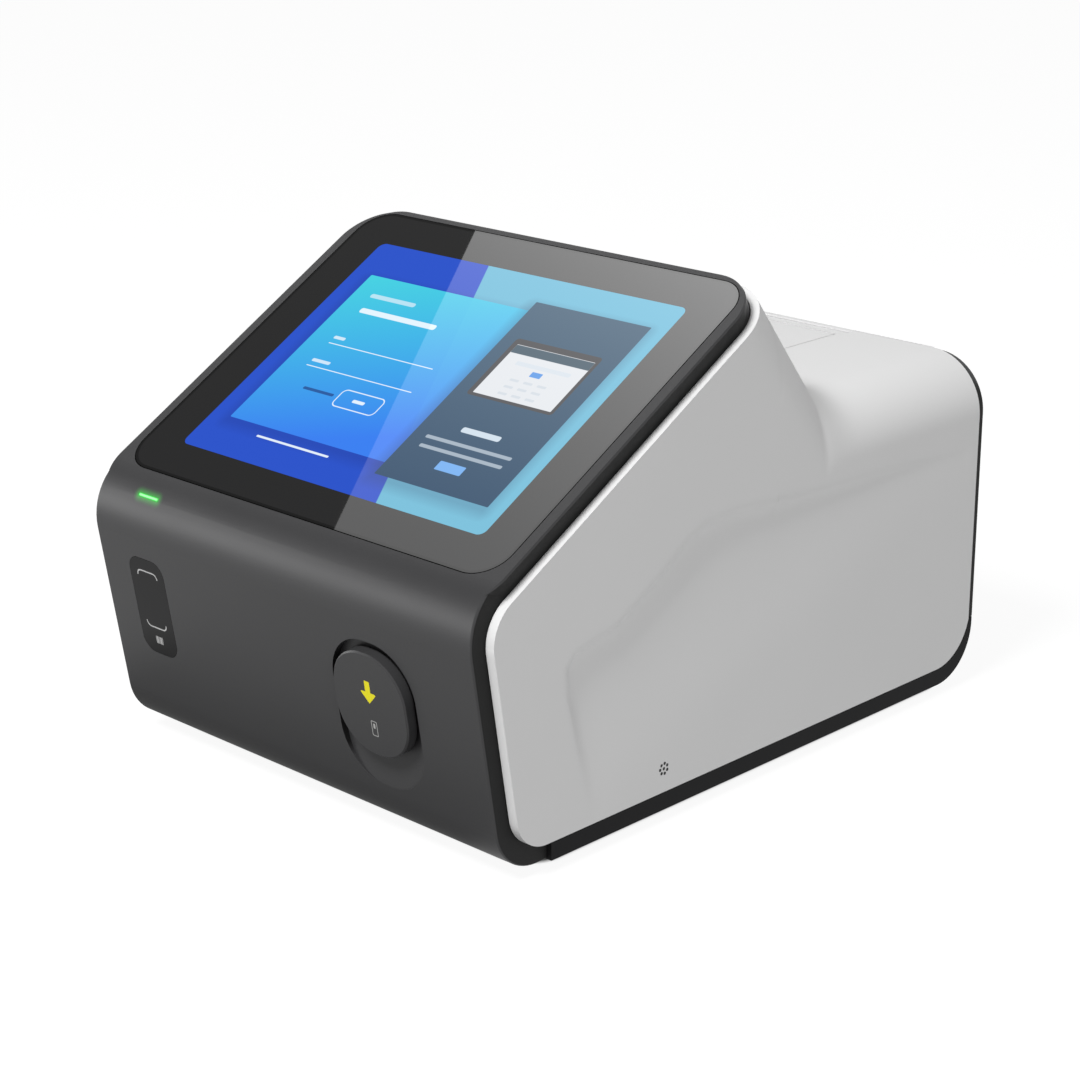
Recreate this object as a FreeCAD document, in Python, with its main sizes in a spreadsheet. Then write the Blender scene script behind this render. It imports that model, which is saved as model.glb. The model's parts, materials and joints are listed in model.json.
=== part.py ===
import FreeCAD, Part
import math
import os
import Sketcher

# Bench-top fluorescence reader for test cartridges. Row frame in millimetres: x to the right seen from
# the front, y to the back, z up, with the origin under the middle of the casing on the bench.

os.makedirs("parts", exist_ok=True)
Vector = FreeCAD.Vector
Rotation = FreeCAD.Rotation
Placement = FreeCAD.Placement
X_AXIS = Vector(1, 0, 0)
Y_AXIS = Vector(0, 1, 0)
Z_AXIS = Vector(0, 0, 1)
document = FreeCAD.newDocument("analyzer")

# Driving sizes, in millimetres and degrees.
SIZES = {
    # casing
    "overall_depth": 288.0,
    "nose_height": 104.3,
    "slope_angle": 30.0,
    "front_lean": 9.2,
    "slope_length": 173.1,
    "shell_width": 204.0,
    "shell_wall": 2.6,
    "shell_bottom": 4.0,
    "nose_round": 24.0,
    "toe_round": 20.0,
    "slab_corner": 20.0,
    "edge_round": 1.0,
    "brim_out": 2.0,
    "brim_deep": 7.4,
    "brim_draft": 15.1,
    "brim_corner": 18.0,
    "brim_low": 2.0,
    "brim_edge": 0.7,
    "brim_lap": 1.5,
    "skirt_depth": 22.0,
    "front_seam": 38.0,
    "cover_stand": 4.1,
    "cover_wall": 2.8,
    "cover_bottom": 12.5,
    "slope_reveal": 7.5,
    "front_reveal": 6.3,
    "slab_margin": 3.4,
    "hump_angle": 52.3,
    "deck_height": 139.0,
    "valley_round": 26.0,
    "shoulder_round": 24.0,
    "cover_nose_round": 17.0,
    "cover_toe_round": 15.0,
    "cover_heel_round": 21.5,
    "clearance": 0.3,
    # sculpted side panels
    "scoop_depth": 3.6,
    "scoop_reach": 55.6,
    "scoop_tilt": 20.1,
    "scoop_zero_back": 50.0,
    "scoop_zero_height": 20.0,
    "scoop_draft": 50.0,
    "scoop_top": 107.0,
    "scoop_peak_back": 134.0,
    "scoop_peak_height": 110.5,
    "scoop_front_back": 68.0,
    "scoop_front_height": 82.5,
    "scoop_nose_back": 45.0,
    "scoop_nose_height": 79.0,
    "scoop_foot_back": 58.0,
    "scoop_foot_height": 16.0,
    "scoop_rear": 12.0,
    # base and back
    "base_wall_height": 28.0,
    "base_heel_round": 22.0,
    "back_inset": 2.1,
    "panel_screw_side": 10.7,
    "back_drop": 2.0,
    "back_plate": 4.4,
    "back_corner": 22.0,
    "back_lip": 8.0,
    "back_lip_wall": 2.2,
    "panel_proud": 2.4,
    # feet
    "foot_radius": 9.0,
    "foot_seat": 1.2,
    "foot_side": 15.0,
    "foot_front_back": 50.0,
    "foot_rear": 22.0,
    # touch screen
    "glass_side": 3.3,
    "glass_start": 16.4,
    "glass_height": 153.4,
    "glass_corner": 13.0,
    "glass_thick": 1.8,
    "glass_gap": 0.4,
    "gasket_thick": 0.6,
    "gasket_width": 5.0,
    "ledge_thick": 2.6,
    "picture_side": 21.0,
    "picture_height": 121.5,
    "picture_start": 32.0,
    "picture_offset": 0.8,
    "display_border": 5.4,
    "display_thick": 4.6,
    "bracket_sheet": 1.2,
    # status light
    "light_length": 11.6,
    "light_width": 1.3,
    "light_side": 28.4,
    "light_angle": 56.2,
    # code scanner
    "window_width": 20.2,
    "window_height": 40.4,
    "window_corner": 6.0,
    "window_thick": 1.6,
    "window_side": 27.1,
    "window_down": 44.0,
    "window_rim": 2.2,
    "scanner_width": 17.0,
    "scanner_height": 24.0,
    "scanner_deep": 14.0,
    # tray front and its recess
    "tray_side": 53.2,
    "recess_width": 42.3,
    "recess_top": 24.2,
    "recess_end": 81.8,
    "recess_corner": 19.2,
    "recess_deep": 3.4,
    "recess_ramp": 60.0,
    "recess_ramp_round": 30.0,
    "cup_wall": 2.2,
    "slot_play": 0.8,
    "door_width": 36.7,
    "door_top": 27.4,
    "door_height": 40.8,
    "door_corner": 17.2,
    "door_proud": 2.8,
    "door_thick": 4.4,
    # cartridge tray and its drive
    "tray_travel": 80.0,
    "tray_width": 26.0,
    "tray_thick": 8.0,
    "tray_level": 62.0,
    "tray_length": 118.0,
    "pocket_width": 21.0,
    "pocket_length": 72.0,
    "pocket_deep": 5.0,
    "pocket_start": 12.0,
    "rod_radius": 2.5,
    "rod_spread": 19.0,
    "rod_drop": 4.0,
    "bush_radius": 3.4,
    "wing_below": 3.1,
    "rod_start": 23.5,
    "rod_spare": 50.5,
    "rod_play": 0.05,
    "carriage_length": 25.0,
    "carriage_start": 104.0,
    "gear_module": 1.0,
    "pinion_teeth": 16,
    "gear_play": 0.1,
    "tooth_foot": 1.25,
    "tooth_head": 0.85,
    "flank_slope": 0.36397,
    "rack_back": 1.2,
    "rack_width": 6.0,
    "pinion_width": 5.0,
    "pinion_back": 40.0,
    "chassis_sheet": 2.5,
    "chassis_level": 30.0,
    "chassis_width": 66.0,
    "motor_side": 20.0,
    "motor_length": 30.0,
    "shaft_radius": 2.0,
    "post_radius": 4.0,
    "screw_radius": 1.5,
    "screw_head_radius": 2.8,
    "screw_head": 1.8,
    "screw_length": 7.0,
    "base_screw_side": 7.0,
    "base_screw_front": 80.0,
    "base_screw_rear": 48.0,
    "floor_vents_rear": 108.0,
    "vent_pitch": 6.0,
    "vent_width": 2.6,
    "vent_length": 30.0,
    "vents_side": 66.0,
    "vents_drop": 47.0,
    "speaker_back": 94.7,
    "speaker_height": 21.7,
    "grille_ring": 1.95,
    "grille_hole": 0.55,
    "usb_width": 13.2,
    "usb_height": 14.8,
    "lan_width": 16.0,
    "lan_height": 13.4,
    # optics
    "optics_start": 64.0,
    "optics_length": 44.0,
    "optics_width": 44.0,
    "optics_height": 26.0,
    "optics_lift": 4.0,
    "arch_sheet": 2.0,
    "arch_inset": 6.0,
    "lens_radius": 5.0,
    "lens_length": 13.0,
    "led_radius": 4.0,
    "led_height": 16.0,
    "led_length": 8.0,
    # printer
    "bezel_width": 85.0,
    "bezel_front": 82.0,
    "bezel_drop": 0.8,
    "bezel_rail": 4.2,
    "bezel_deep": 9.0,
    "lid_thick": 2.6,
    "lid_rear": 12.0,
    "lid_pin_radius": 1.0,
    "lid_pin_length": 2.2,
    "lid_swing": 3.0,
    "lid_front": 76.0,
    "bay_width": 59.0,
    "bay_wall": 1.8,
    "bay_front": 58.0,
    "bay_rear": 17.0,
    "bay_depth": 47.0,
    "bay_round": 18.0,
    "roll_radius": 19.0,
    "roll_width": 57.0,
    "roll_core_radius": 6.0,
    "platen_radius": 4.0,
    "platen_length": 58.0,
    "platen_shaft_radius": 1.5,
    "platen_ahead": 68.4,
    "platen_drop": 7.4,
    "head_gap": 0.4,
    "head_thick": 1.8,
    # mains and data
    "inlet_side": 36.0,
    "inlet_z": 62.0,
    "inlet_width": 27.0,
    "inlet_height": 19.8,
    "flange_width": 48.0,
    "flange_height": 22.5,
    "rocker_side": 76.0,
    "rocker_width": 13.0,
    "rocker_height": 19.2,
    "rocker_tilt": 9.0,
    "board_side": 3.0,
    "usb_first": 34.0,
    "usb_second": 15.0,
    "lan_offset": 8.0,
    "board_margin": 5.0,
    "board_length": 100.0,
    "board_thick": 1.6,
    "board_level": 31.0,
    "standoff_radius": 3.0,
    "board_inset": 6.0,
    "usb_deep": 17.0,
    "lan_deep": 18.0,
    "sink_side": 30.0,
    "sink_base": 3.0,
    "fin_height": 9.0,
    "fin_thick": 1.4,
    "fin_count": 8,
    # speaker, sensor and power supply
    "speaker_radius": 8.0,
    "speaker_deep": 5.0,
    "sensor_width": 12.0,
    "sensor_length": 14.0,
    "sensor_height": 12.0,
    "sensor_slot": 3.0,
    "supply_side": 12.0,
    "supply_room": 70.0,
    "supply_height": 32.0,
    "supply_back": 28.0,
}

sheet = document.addObject("Spreadsheet::Sheet", "Sizes")
for row, (alias, number) in enumerate(SIZES.items(), start=1):
    sheet.set(f"A{row}", alias)
    sheet.set(f"B{row}", str(number))
    sheet.setAlias(f"B{row}", alias)
document.recompute()


class Size:
    """A size worked out from the sheet, kept as the text of its formula."""

    def __init__(self, formula):
        self.formula = formula if isinstance(formula, str) else repr(float(formula))

    @property
    def value(self):
        return float(sheet.evalExpression(self.formula))

    def __add__(self, other):
        return Size(f"({self.formula} + {size(other).formula})")

    def __radd__(self, other):
        return size(other) + self

    def __sub__(self, other):
        return Size(f"({self.formula} - {size(other).formula})")

    def __rsub__(self, other):
        return size(other) - self

    def __mul__(self, other):
        return Size(f"({self.formula} * {size(other).formula})")

    def __rmul__(self, other):
        return size(other) * self

    def __truediv__(self, other):
        return Size(f"({self.formula} / {size(other).formula})")

    def __neg__(self):
        return Size(f"(0 - {self.formula})")


def size(number):
    return number if isinstance(number, Size) else Size(number)


def named(alias):
    return Size(f"Sizes.{alias}")


def sine(angle):
    return Size(f"sin({angle.formula})")


def cosine(angle):
    return Size(f"cos({angle.formula})")


def bind(thing, name, amount):
    """Ties one property of a document object to a formula of the sheet."""
    thing.setExpression(name, size(amount).formula)


SLOPE = named("slope_angle")
LEAN = named("front_lean")
GAP = named("clearance")
WALL = named("shell_wall")
SHELL_WIDTH = named("shell_width")
COVER_WIDTH = SHELL_WIDTH + 2 * named("cover_stand")
SIDE = SHELL_WIDTH / 2
GLASS_WIDTH = SHELL_WIDTH - 2 * named("glass_side")
PICTURE_WIDTH = SHELL_WIDTH - 2 * named("picture_side")
COVER_WALL = named("cover_wall")
BOTTOM = named("shell_bottom")
DECK = named("deck_height")
NOSE_ROUND = named("nose_round")
TRAY_X = SIDE - named("tray_side")
WINDOW_X = named("window_side") - SIDE
LIGHT_X = named("light_side") - SIDE

# The nose is the corner where the slope and the leaning front would meet; its round reaches less far.
nose_turn = (1 - sine(SLOPE - LEAN)) / cosine(SLOPE - LEAN)
nose_setback = NOSE_ROUND * (nose_turn * cosine(SLOPE) + sine(SLOPE) - 1)
NOSE_Y = -named("overall_depth") / 2 - nose_setback
NOSE_Z = named("nose_height")
PANEL_Y = named("overall_depth") / 2 - named("panel_proud")
COVER_REAR = PANEL_Y - named("back_plate") - GAP


def back(distance):
    """The y of a point this far behind the nose."""
    return NOSE_Y + distance


def ahead(distance):
    """The y of a point this far in front of the rear panel's face."""
    return PANEL_Y - distance


def on_slope(along, out):
    """Side view place of a point up the slope and out of its face."""
    y = NOSE_Y + size(along) * cosine(SLOPE) - size(out) * sine(SLOPE)
    z = NOSE_Z + size(along) * sine(SLOPE) + size(out) * cosine(SLOPE)
    return y, z


def behind_front(height, out):
    """Side view place at a height on a line parallel to the front face."""
    return NOSE_Y + (NOSE_Z - height) * sine(LEAN) / cosine(LEAN) - size(out) / cosine(LEAN), size(height)


def corner(slope_out, front_out):
    """Where a line parallel to the slope meets a line parallel to the front."""
    along = (size(slope_out) * sine(SLOPE - LEAN) - front_out) / cosine(SLOPE - LEAN)
    return on_slope(along, slope_out)


def place(thing, base=(0, 0, 0), axis=X_AXIS, angle=None):
    """Gives a document object a place whose parts follow the sheet."""
    thing.Placement = Placement(Vector(), Rotation(axis, 0 if angle is None else 10))
    for letter, amount in zip("xyz", base):
        bind(thing, f".Placement.Base.{letter}", amount)
    if angle is not None:
        bind(thing, ".Placement.Rotation.Angle", angle)
    return thing


def slope_frame(thing):
    """x across, y up the slope, z out of the screen, from the nose."""
    return place(thing, (0, NOSE_Y, NOSE_Z), X_AXIS, SLOPE)


def front_frame(thing):
    """x across, y up the front face, z out of the front, from the nose."""
    return place(thing, (0, NOSE_Y, NOSE_Z), X_AXIS, LEAN + 90)


def body(label):
    made = document.addObject("PartDesign::Body", label)
    made.Label = label
    return made


def sketch(owner, plane="XY_Plane", lift=0):
    """A sketch on one of the body's own planes, lifted along the plane's normal."""
    made = owner.newObject("Sketcher::SketchObject", owner.Name + "_sketch")
    support = next(item for item in owner.Origin.OriginFeatures if item.Role == plane)
    made.AttachmentSupport = [(support, "")]
    made.MapMode = "FlatFace"
    bind(made, ".AttachmentOffset.Base.z", lift)
    return made


def datum(drawing, kind, amount, *places):
    """A dimension of the sketch, tied to the sheet."""
    number = drawing.addConstraint(Sketcher.Constraint(kind, *places, size(amount).value))
    drawing.setExpression(f"Constraints[{number}]", size(amount).formula)


def polygon(drawing, points):
    """A closed outline of straight runs, each corner placed from the sketch's origin."""
    first = drawing.GeometryCount
    spots = [Vector(size(u).value, size(v).value, 0) for u, v in points]
    count = len(spots)
    for index in range(count):
        drawing.addGeometry(Part.LineSegment(spots[index], spots[(index + 1) % count]))
    for index, (u, v) in enumerate(points):
        line = first + index
        drawing.addConstraint(Sketcher.Constraint("Coincident", line, 2, first + (index + 1) % count, 1))
        datum(drawing, "DistanceX", u, -1, 1, line, 1)
        datum(drawing, "DistanceY", v, -1, 1, line, 1)


def circle(drawing, u, v, radius):
    """A circle placed from the sketch's origin."""
    centre = Vector(size(u).value, size(v).value, 0)
    number = drawing.addGeometry(Part.Circle(centre, Z_AXIS, size(radius).value))
    datum(drawing, "Radius", radius, number)
    datum(drawing, "DistanceX", u, -1, 1, number, 3)
    datum(drawing, "DistanceY", v, -1, 1, number, 3)


def rectangle(drawing, u, v, width, height):
    """A rectangle about its middle."""
    left, right = size(u) - size(width) / 2, size(u) + size(width) / 2
    low, high = size(v) - size(height) / 2, size(v) + size(height) / 2
    polygon(drawing, [(left, low), (right, low), (right, high), (left, high)])


def pad(owner, drawing, length, both_ways=False, backwards=False, draft=None):
    made = owner.newObject("PartDesign::Pad", owner.Name + "_pad")
    made.Profile = (drawing, [""])
    made.SideType = "Symmetric" if both_ways else "One side"
    made.Reversed = backwards
    bind(made, "Length", length)
    if draft is not None:
        bind(made, "TaperAngle", draft)
    drawing.Visibility = False
    document.recompute()
    return made


def pocket(owner, drawing, length, both_ways=False, backwards=False):
    made = owner.newObject("PartDesign::Pocket", owner.Name + "_pocket")
    made.Profile = (drawing, [""])
    made.SideType = "Symmetric" if both_ways else "One side"
    made.Reversed = backwards
    bind(made, "Length", length)
    document.recompute()
    return made


def edges_along(shape, direction, spots):
    """Names of the straight edges that run in a direction through one of the given spots."""
    names = []
    for number, edge in enumerate(shape.Edges, start=1):
        if edge.Curve.TypeId != "Part::GeomLine" or len(edge.Vertexes) < 2:
            continue
        run = edge.Vertexes[1].Point - edge.Vertexes[0].Point
        if run.cross(direction).Length > 1e-4 * run.Length:
            continue
        for spot in spots:
            if (edge.Vertexes[0].Point - spot).cross(direction).Length < 1e-3:
                names.append(f"Edge{number}")
                break
    return names


def fillet(owner, base, names, radius, kind="Fillet"):
    made = owner.newObject("PartDesign::" + kind, owner.Name + "_" + kind.lower())
    made.Base = (base, names)
    bind(made, "Radius" if kind == "Fillet" else "Size", radius)
    document.recompute()
    return made


def round_upright(owner, base, direction, corners, radius):
    """Rounds the edges of a pad that stand on the given corners of its outline."""
    spots = [Vector(*[size(part).value for part in spot]) for spot in corners]
    return fillet(owner, base, edges_along(base.Shape, direction, spots), radius)


def plate(label, u, v, width, height, thick, round_by=None, lift=0):
    """A flat plate with rounded corners, its top at the given lift, in its own frame."""
    made = body(label)
    drawing = sketch(made, "XY_Plane", lift)
    rectangle(drawing, u, v, width, height)
    slab = pad(made, drawing, thick, backwards=True)
    if round_by is not None:
        spots = [(size(u) + side * size(width) / 2, size(v) + end * size(height) / 2, 0)
                 for side in (-1, 1) for end in (-1, 1)]
        round_upright(made, slab, Z_AXIS, spots, round_by)
    return made


def block(label, low, high):
    """A box between two corners."""
    made = document.addObject("Part::Box", label)
    made.Label = label
    for name, start, end in zip(("Length", "Width", "Height"), low, high):
        bind(made, name, size(end) - start)
    return place(made, low)


TURNS = {"x": (Y_AXIS, 90), "y": (X_AXIS, -90), "z": (Z_AXIS, 0)}


def rod(label, start, axis, radius, length):
    """A round bar from a point along +x, +y or +z."""
    made = document.addObject("Part::Cylinder", label)
    made.Label = label
    bind(made, "Radius", radius)
    bind(made, "Height", length)
    turn = TURNS[axis]
    made.Placement = Placement(Vector(), Rotation(turn[0], turn[1]))
    for letter, amount in zip("xyz", start):
        bind(made, f".Placement.Base.{letter}", amount)
    return made


def join(label, *pieces):
    made = document.addObject("Part::MultiFuse", label)
    made.Label = label
    made.Shapes = list(pieces)
    document.recompute()
    return made


def cut(label, base, *tools):
    made = document.addObject("Part::Cut", label)
    made.Label = label
    made.Base = base
    made.Tool = tools[0] if len(tools) == 1 else join(label + "_tools", *tools)
    document.recompute()
    return made


def common(label, first, second):
    made = document.addObject("Part::MultiCommon", label)
    made.Label = label
    made.Shapes = [first, second]
    document.recompute()
    return made


def group(label, *pieces):
    """Like pieces of one kind kept in one node as separate solids."""
    made = document.addObject("Part::Compound", label)
    made.Label = label
    made.Links = list(pieces)
    document.recompute()
    return made


finished = []


def keep(*pieces):
    finished.extend(pieces)


def faces_holding(shape, spots):
    """Names of the flat faces whose plane holds one of the given points."""
    names = []
    for number, face in enumerate(shape.Faces, start=1):
        if face.Surface.TypeId != "Part::GeomPlane":
            continue
        normal = face.normalAt(0, 0)
        if any(abs((spot - face.Vertexes[0].Point).dot(normal)) < 1e-3 for spot in spots):
            names.append(f"Face{number}")
    return names


def middle_of(first, second):
    return Vector(0, (first[0].value + second[0].value) / 2, (first[1].value + second[1].value) / 2)


def spot_at(x, pair):
    return Vector(size(x).value, size(pair[0]).value, size(pair[1]).value)


def slab_plate(label, margin, depth, lift, corner_round):
    """A rounded plate on the slope that follows the glass with a margin all round."""
    middle = named("glass_start") + named("glass_height") / 2
    made = plate(label, 0, middle, GLASS_WIDTH + 2 * size(margin),
                 named("glass_height") + 2 * size(margin), depth, corner_round, lift)
    return slope_frame(made)


def ring_pocket(owner, u, v, width, height, corner_round, depth, lift=0):
    """Cuts a rounded window down from the given lift."""
    drawing = sketch(owner, "XY_Plane", lift)
    rounded(drawing, u, v, width, height, corner_round)
    return pocket(owner, drawing, depth)


def rounded(drawing, u, v, width, height, radius):
    """A rounded rectangle about its middle, with its corners as arcs."""
    u, v, half_w, half_h, r = size(u), size(v), size(width) / 2, size(height) / 2, size(radius)
    centres = [(u + sx * (half_w - r), v + sy * (half_h - r)) for sx,
               sy in ((1, 1), (-1, 1), (-1, -1), (1, -1))]
    first = drawing.GeometryCount
    for turn, (cu, cv) in enumerate(centres):
        start = turn * math.pi / 2
        ring = Part.Circle(Vector(cu.value, cv.value, 0), Z_AXIS, r.value)
        drawing.addGeometry(Part.ArcOfCircle(ring, start, start + math.pi / 2))
    for turn in range(4):
        one = drawing.Geometry[first + turn]
        two = drawing.Geometry[first + (turn + 1) % 4]
        drawing.addGeometry(Part.LineSegment(one.EndPoint, two.StartPoint))
    for turn, (cu, cv) in enumerate(centres):
        line = first + 4 + turn
        drawing.addConstraint(Sketcher.Constraint("Tangent", first + turn, 2, line, 1))
        drawing.addConstraint(Sketcher.Constraint("Tangent", line, 2, first + (turn + 1) % 4, 1))
        datum(drawing, "DistanceX", cu, -1, 1, first + turn, 3)
        datum(drawing, "DistanceY", cv, -1, 1, first + turn, 3)
    datum(drawing, "Radius", r, first)


# Front shell: one dark moulding that wraps the toe, the front and the slope round the screen.
SKIRT = named("skirt_depth")
slab_end = on_slope(named("slope_length"), 0)
shell_toe = behind_front(BOTTOM, 0)
inner_line = [
    (back(named("front_seam")), BOTTOM),
    (back(named("front_seam")), named("base_wall_height")),
    behind_front(named("base_wall_height"), -SKIRT),
    corner(-SKIRT, -SKIRT),
    on_slope(named("slope_length"), -SKIRT),
]
shell_body = body("shell_body")
outline = sketch(shell_body, "YZ_Plane")
polygon(outline, [slab_end, (NOSE_Y, NOSE_Z), shell_toe] + inner_line)
shell_block = pad(shell_body, outline, SHELL_WIDTH, both_ways=True)
shell_block = round_upright(shell_body, shell_block, X_AXIS, [(0, NOSE_Y, NOSE_Z)], NOSE_ROUND)
shell_block = round_upright(shell_body, shell_block, X_AXIS, [(0, *shell_toe)], named("toe_round"))
slab_normal = Vector(0, -sine(SLOPE).value, cosine(SLOPE).value)
slope_run = Vector(0, cosine(SLOPE).value, sine(SLOPE).value)
slab_ends = [(side * SHELL_WIDTH / 2, *slab_end) for side in (-1, 1)]
shell_block = round_upright(shell_body, shell_block, slab_normal, slab_ends, named("slab_corner"))
hollow = shell_body.newObject("PartDesign::Thickness", "shell_hollow")
open_sides = [middle_of(a, b) for a, b in zip(inner_line, inner_line[1:])]
hollow.Base = (shell_block, faces_holding(shell_block.Shape, open_sides))
bind(hollow, "Value", WALL)
hollow.Reversed = True
hollow.Join = "Intersection"
document.recompute()
rim = edges_along(hollow.Shape, slope_run, [spot_at(side * SHELL_WIDTH / 2, slab_end) for side in (-1, 1)])
fillet(shell_body, hollow, rim, named("edge_round"))

# The screen's ledge: the glass lies on a foam gasket on it, and the display looks through its window.
glass_bed = named("glass_thick") + named("gasket_thick")
ledge_bottom = glass_bed + named("ledge_thick")
picture_middle = named("picture_start") + named("picture_height") / 2
window_wide = PICTURE_WIDTH + 2 * named("display_border") / 2
window_tall = named("picture_height") + 2 * named("display_border") / 2
ledge = slab_plate("ledge", named("glass_gap") + WALL / 2, ledge_bottom - WALL / 2, -WALL / 2,
                   named("glass_corner") + WALL / 2)
glass_pocket = slab_plate("glass_pocket", named("glass_gap"), glass_bed + 1, 1,
                          named("glass_corner") + named("glass_gap"))
display_window = slope_frame(plate("display_window", named("picture_offset"), picture_middle, window_wide,
                                   window_tall,
                                   ledge_bottom * 3, 1, ledge_bottom))

# The tray's recess: a cup behind the front face, with a ramp below the tray front for a fingertip.
recess_tall = named("recess_end") - named("recess_top")
recess_middle = -(named("recess_top") + named("recess_end")) / 2


def recess_form(label, margin, deep, proud):
    """The recess outline, swept in and cut off by its floor and ramp, grown by a margin."""
    prism = body(label + "_outline")
    drawing = sketch(prism, "XY_Plane", proud)
    rounded(drawing, TRAY_X, recess_middle, named("recess_width") + 2 * size(margin),
            recess_tall + 2 * size(margin), named("recess_corner") + margin)
    pad(prism, drawing, size(deep) + proud, backwards=True)
    side_view = body(label + "_floor")
    drawing = sketch(side_view, "YZ_Plane")
    top = -named("recess_top") + size(margin) + 1
    end = -named("recess_end") - margin
    polygon(drawing, [(top, proud), (top, -size(deep)), (-named("recess_ramp"), -size(deep)),
                      (end, -size(margin)), (end, proud)])
    floor = pad(side_view, drawing, SHELL_WIDTH, both_ways=True)
    ramp_edge = [(0, -named("recess_ramp"), -size(deep))]
    round_upright(side_view, floor, X_AXIS, ramp_edge, named("recess_ramp_round"))
    return front_frame(common(label, prism, side_view))


recess = recess_form("recess", 0, named("recess_deep"), 1)
recess_cup = recess_form("recess_cup", named("cup_wall"), named("recess_deep") + named("cup_wall"), -WALL / 2)
slot_low = named("tray_level") - named("tray_thick") - 1
slot_high = named("tray_level") + 1.2
slot_side = named("tray_width") / 2 + named("slot_play")
tray_slot = block("tray_slot", (TRAY_X - slot_side, back(-20), slot_low),
                  (TRAY_X + slot_side, back(40), slot_high))
rack_side = named("rack_width") / 2 + named("slot_play")
rack_slot = block("rack_slot", (TRAY_X - rack_side, back(-20), slot_low - 3),
                  (TRAY_X + rack_side, back(40), slot_high))

# The scanner's window sits in a shallow pocket with a smaller opening behind it.
window_v = -named("window_down")
scan_pocket = front_frame(plate("scan_pocket", WINDOW_X, window_v, named("window_width") + 2 * 0.15,
                                named("window_height") + 2 * 0.15, named("window_thick") + 1,
                                named("window_corner") + 0.15, 1))
scan_hole = front_frame(plate("scan_hole", WINDOW_X, window_v,
                              named("window_width") - 2 * named("window_rim"),
                              named("window_height") - 2 * named("window_rim"), 12, 3, 3))

# The status light's slit looks out of the nose round.
light_centre = corner(-NOSE_ROUND, -NOSE_ROUND)


def light_frame(thing):
    """z out of the nose round at the light, from the round's centre."""
    return place(thing, (LIGHT_X, *light_centre), X_AXIS, named("light_angle"))


light_slit = light_frame(plate("light_slit", 0, 0, named("light_length") + 0.2, named("light_width") + 0.2,
                               10, named("light_width") / 2, NOSE_ROUND + 1))

# The brim: beside the glass the slope's margin leans out over the cover's rim, and fades into the nose.
brim_body = body("brim_body")
brim_top = named("slope_length") - named("edge_round") - named("brim_out")
drawing = sketch(brim_body, "XY_Plane", -named("brim_deep"))
rounded(drawing, 0, (brim_top + named("brim_low")) / 2, SHELL_WIDTH, brim_top - named("brim_low"),
        named("brim_corner"))
brim_pad = pad(brim_body, drawing, named("brim_deep"), draft=named("brim_draft"))
upper_edges = [f"Edge{n}" for n, edge in enumerate(brim_pad.Shape.Edges, 1) if abs(edge.BoundBox.ZMin) < 1e-3]
fillet(brim_body, brim_pad, upper_edges, named("brim_edge"), "Chamfer")
brim_limit = body("brim_limit")
outline = sketch(brim_limit, "YZ_Plane")
polygon(outline, [slab_end, (NOSE_Y, NOSE_Z), shell_toe] + inner_line)
limit_block = pad(brim_limit, outline, SHELL_WIDTH + 8 * named("brim_out"), both_ways=True)
round_upright(brim_limit, limit_block, X_AXIS, [(0, NOSE_Y, NOSE_Z)], NOSE_ROUND)
way_top = named("slope_length") - named("brim_lap")
within = slope_frame(plate("within_walls", 0, way_top / 2 - NOSE_ROUND, SHELL_WIDTH - 2 * named("brim_lap"),
                           way_top + 2 * NOSE_ROUND, SKIRT + 1, named("brim_corner"), 1))
brim = cut("brim", common("brim_form", slope_frame(brim_body), brim_limit), within)
front_shell = cut("front_shell", join("shell_with_ledge", shell_body, ledge, recess_cup, brim),
                  glass_pocket, display_window, recess, tray_slot, rack_slot, scan_pocket, scan_hole,
                  light_slit)
keep(front_shell)

# Upper cover: the pale saddle over the sides, the hump and the deck.
slope_line = -named("slope_reveal")
front_line = -named("front_reveal")
peak_along = named("slope_length") + named("slab_margin")
hump = named("hump_angle")


def hump_point(height, inset):
    """Where a line parallel to the hump's back, set in by its inset, reaches a height."""
    peak_y, peak_z = on_slope(peak_along, slope_line)
    return peak_y - size(inset) / sine(hump) + (peak_z - height) * cosine(hump) / sine(hump), size(height)


def hump_meets_slope(out, inset):
    """Where the hump's back line, set in, crosses a line parallel to the slope."""
    drop = (slope_line - out) * cosine(hump + SLOPE) / sine(hump + SLOPE)
    return on_slope(peak_along + drop - size(inset) / sine(hump + SLOPE), out)


cover_toe = behind_front(named("cover_bottom"), front_line)
cover_nose = corner(slope_line, front_line)
cover_peak = on_slope(peak_along, slope_line)
valley = hump_point(DECK, 0)
cover_body = body("cover_body")
outline = sketch(cover_body, "YZ_Plane")
polygon(outline, [cover_toe, cover_nose, cover_peak, valley, (COVER_REAR, DECK),
                  (COVER_REAR, named("cover_bottom"))])
cover_block = pad(cover_body, outline, COVER_WIDTH, both_ways=True)
for spot, radius in ((cover_toe, "cover_toe_round"), (cover_nose, "cover_nose_round"),
                     (valley, "valley_round"),
                     ((COVER_REAR, named("cover_bottom")), "cover_heel_round")):
    cover_block = round_upright(cover_body, cover_block, X_AXIS, [(0, *spot)], named(radius))
deck_corners = [spot_at(side * COVER_WIDTH / 2, (COVER_REAR, DECK)) for side in (-1, 1)]
deck_edges = edges_along(cover_block.Shape, Y_AXIS, deck_corners)
cover_block = fillet(cover_body, cover_block, deck_edges, named("shoulder_round"))

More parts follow.
